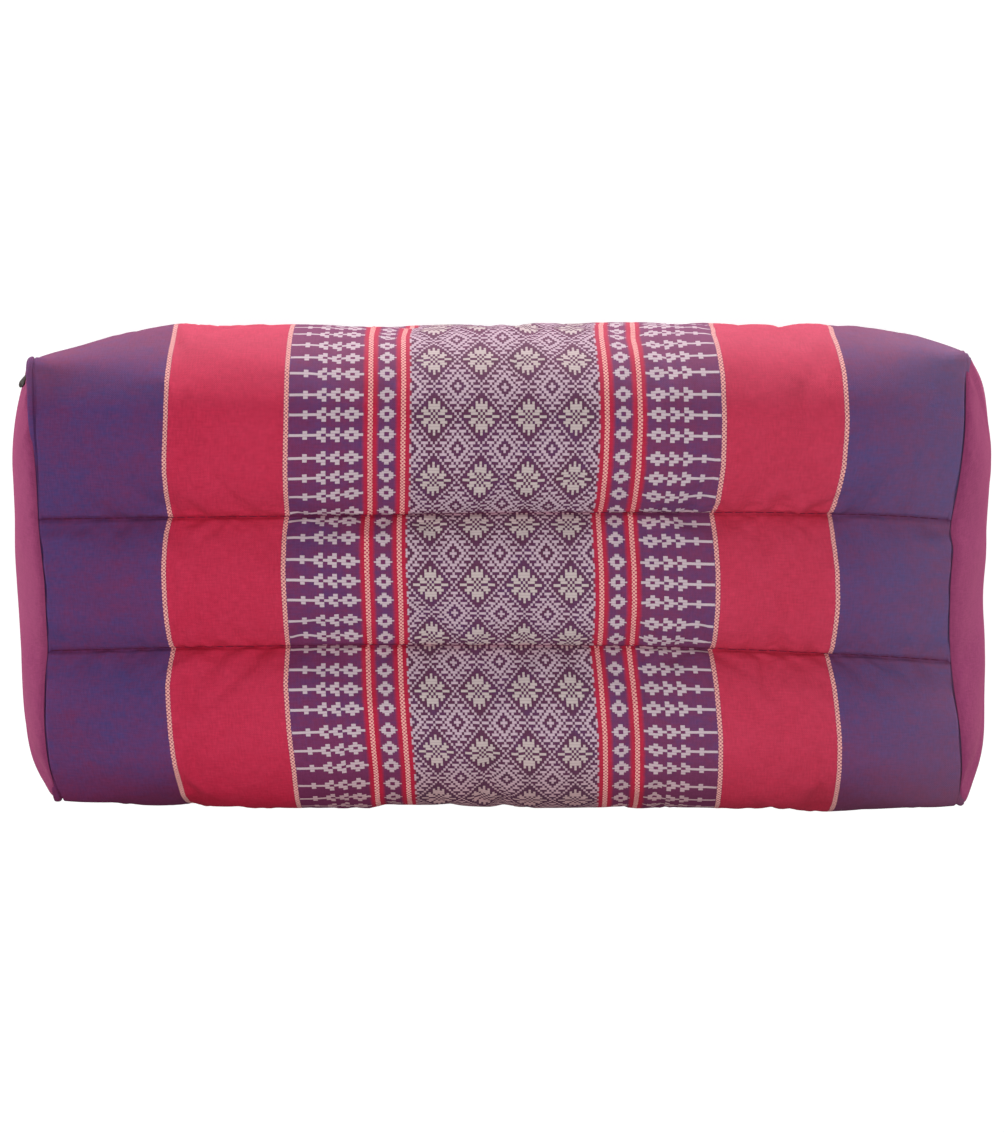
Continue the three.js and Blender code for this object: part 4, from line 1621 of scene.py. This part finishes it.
def thread_material():
    """Dark sewing thread with a twist along it."""
    material, tree, shader = new_material("dark_thread", 0.6, specular=0.05)
    twist = noise_at(own_position(tree), 900.0)
    join(blend(twist, THREAD_DARK, THREAD_PLUM), shader.inputs["Base Color"])
    relief(shader, twist, TWIST_RELIEF)
    return material


def tab_material():
    """Dark bronzed metal, rubbed paler in small patches."""
    material, tree, shader = new_material("bronzed_metal", 0.4, specular=0.1)
    shader.inputs["Metallic"].default_value = 0.1
    wear = noise_at(own_position(tree), 420.0, 3.0)
    join(blend(wear * 2.6 - 1.0, METAL_DARK, METAL_WORN), shader.inputs["Base Color"])
    join(wear * 0.3 + 0.36, shader.inputs["Roughness"])
    return material


banded_cloth, magenta_cloth = wrap_cloth(), panel_cloth()
dark_thread, bronzed_metal = thread_material(), tab_material()
print("materials:", [m.name for m in bpy.data.materials])

# %% [markdown]
# ## Join the pieces to the frame
#
# Each piece gets its material and rides on the root body, and the frame's own solids are hidden. The end
# panels are single sheets sewn in tight.

# %% Assign and attach
finishes = [
    (woven_wrap, banded_cloth, "wrap_cloth"),
    (end_cloth_left, magenta_cloth, "panel_cloth"),
    (end_cloth_right, magenta_cloth, "panel_cloth"),
    (channel_stitching, dark_thread, "wrap_cloth"),
    (pull_tab, bronzed_metal, "dark_metal"),
]
for piece, material, slot in finishes:
    piece.data.materials.append(material)
    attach(piece, "root")
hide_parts("cushion_body")
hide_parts("end_panel_left")
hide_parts("end_panel_right")
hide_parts("zip_pull")
print("pieces joined:", [piece.name for piece, _, _ in finishes])

# %% [markdown]
# ## Floor, light and camera
#
# The cushion lies on a plain white floor. The camera looks almost straight down on the face, leaning a
# little towards +Y, with a long lens so the block keeps its proportions. One wide soft lamp hangs above
# the face, a long one lies beside the +Y side, and two weak ones light the end panels. The surround is
# white to the camera and gives only a little light of its own.

# %% Floor
FLOOR_HALF, FLOOR_DROP = 6000.0, 0.3  # millimetres; the floor lies a hair under the cushion
FLOOR_SHADE, FLOOR_SHADE_SEEN = 0.12, 0.30  # what it throws back on to the cushion, and what is seen
FLOOR_GLOW = 0.84  # near the cushion, rising to 1 far away
GLOW_START, GLOW_REACH = 0.297, 0.9  # metres
BLACK, WHITE = (0, 0, 0, 1), (1, 1, 1, 1)


def seen_directly(tree):
    """1 where the camera, a gloss or a clear thing looks, 0 for the light that goes between surfaces."""
    path = tree.nodes.new("ShaderNodeLightPath")
    rays = ("Is Camera Ray", "Is Glossy Ray", "Is Transmission Ray")
    camera_ray, glossy_ray, clear_ray = (Value(tree, path.outputs[ray]) for ray in rays)
    return maths("MAXIMUM", maths("MAXIMUM", camera_ray, glossy_ray), clear_ray)


def build_floor():
    """A wide square on the plane the cushion rests on, white to the camera with the cushion's shadow."""
    signs = np.array([(-1, -1, 0), (1, -1, 0), (1, 1, 0), (-1, 1, 0)])
    corners = signs * FLOOR_HALF - (0, 0, FLOOR_DROP)
    floor = mesh_from_arrays("studio_floor", corners, np.array([[0, 1, 2, 3]]))
    material, tree, shader = new_material("floor_white", 0.9)
    seen = seen_directly(tree)
    shade = seen * (FLOOR_SHADE_SEEN - FLOOR_SHADE) + FLOOR_SHADE
    join(blend(shade, BLACK, WHITE), shader.inputs["Base Color"])
    shader.inputs["Emission Color"].default_value = WHITE
    # Away from the lamps the floor gets less light, so there it glows up to full white by itself.
    distance = tree.nodes.new("ShaderNodeVectorMath")
    distance.operation = "LENGTH"
    join(own_position(tree), distance.inputs[0])
    away = clamp((Value(tree, distance.outputs["Value"]) - GLOW_START) * (1 / GLOW_REACH))
    join(seen * (away * (1 - FLOOR_GLOW) + FLOOR_GLOW), shader.inputs["Emission Strength"])
    floor.data.materials.append(material)


build_floor()
print("floor", 2 * FLOOR_HALF, "mm wide")

# %% Light and camera
TARGET = np.array([0.0, 7.3, 115.0])
DISTANCE = 1250.0
LEAN = np.radians(11.0)
VIEW_HEIGHT = 424.5  # millimetres of the target's plane that the long side of the view takes in
SURROUND = 0.13  # the light that the white surround gives
LAMPS = [
    # name, where it is, what it points at, its two sizes (all in millimetres), watts
    ("face_lamp", (0, -40, 1700), (0, 0, 60), (2600, 1900), 31.5),
    ("side_lamp", (0, 330, 22), (0, 90, 80), (1300, 34), 3.0),
    ("left_lamp", (-430, 0, 30), (-189, 0, 70), (300, 40), 0.62),
    ("right_lamp", (430, 0, 30), (189, 0, 70), (300, 40), 0.48),
]


def add_lamp(name, at, towards, size, power):
    """A rectangular area lamp that the camera does not see."""
    lamp = bpy.data.objects.new(name, bpy.data.lights.new(name, "AREA"))
    lamp.data.shape = "RECTANGLE"
    lamp.data.size, lamp.data.size_y = size[0] * MM, size[1] * MM
    lamp.data.energy = power
    lamp.location = np.array(at) * MM
    aim = Vector((np.array(towards) - np.array(at)).tolist())
    lamp.rotation_euler = aim.to_track_quat("-Z", "Y").to_euler()
    lamp.visible_camera = False
    bpy.context.scene.collection.objects.link(lamp)


def add_camera():
    """Camera on the line that leans from straight above towards +Y, its long side upright."""
    back = np.array([0.0, np.sin(LEAN), np.cos(LEAN)])
    camera = bpy.data.objects.new("camera", bpy.data.cameras.new("camera"))
    camera.data.lens = camera.data.sensor_width * DISTANCE / VIEW_HEIGHT
    camera.location = (TARGET + back * DISTANCE) * MM
    camera.rotation_euler = (-LEAN, 0.0, 0.0)
    camera.data.clip_start, camera.data.clip_end = 0.05, 50
    bpy.context.scene.collection.objects.link(camera)
    bpy.context.scene.camera = camera
    return camera


def add_surround():
    """A white world: dim for the light it gives, and full white where the camera or a gloss sees it."""
    world = bpy.data.worlds.new("studio")
    bpy.context.scene.world = world
    world.use_nodes = True
    background = world.node_tree.nodes["Background"]
    background.inputs["Color"].default_value = WHITE
    join(seen_directly(world.node_tree) * (1 - SURROUND) + SURROUND, background.inputs["Strength"])


add_surround()
for lamp in LAMPS:
    add_lamp(*lamp)
camera = add_camera()
bpy.context.scene.view_settings.view_transform = "Standard"
print("camera lens", round(camera.data.lens, 1), "mm at", [round(v, 3) for v in camera.location])
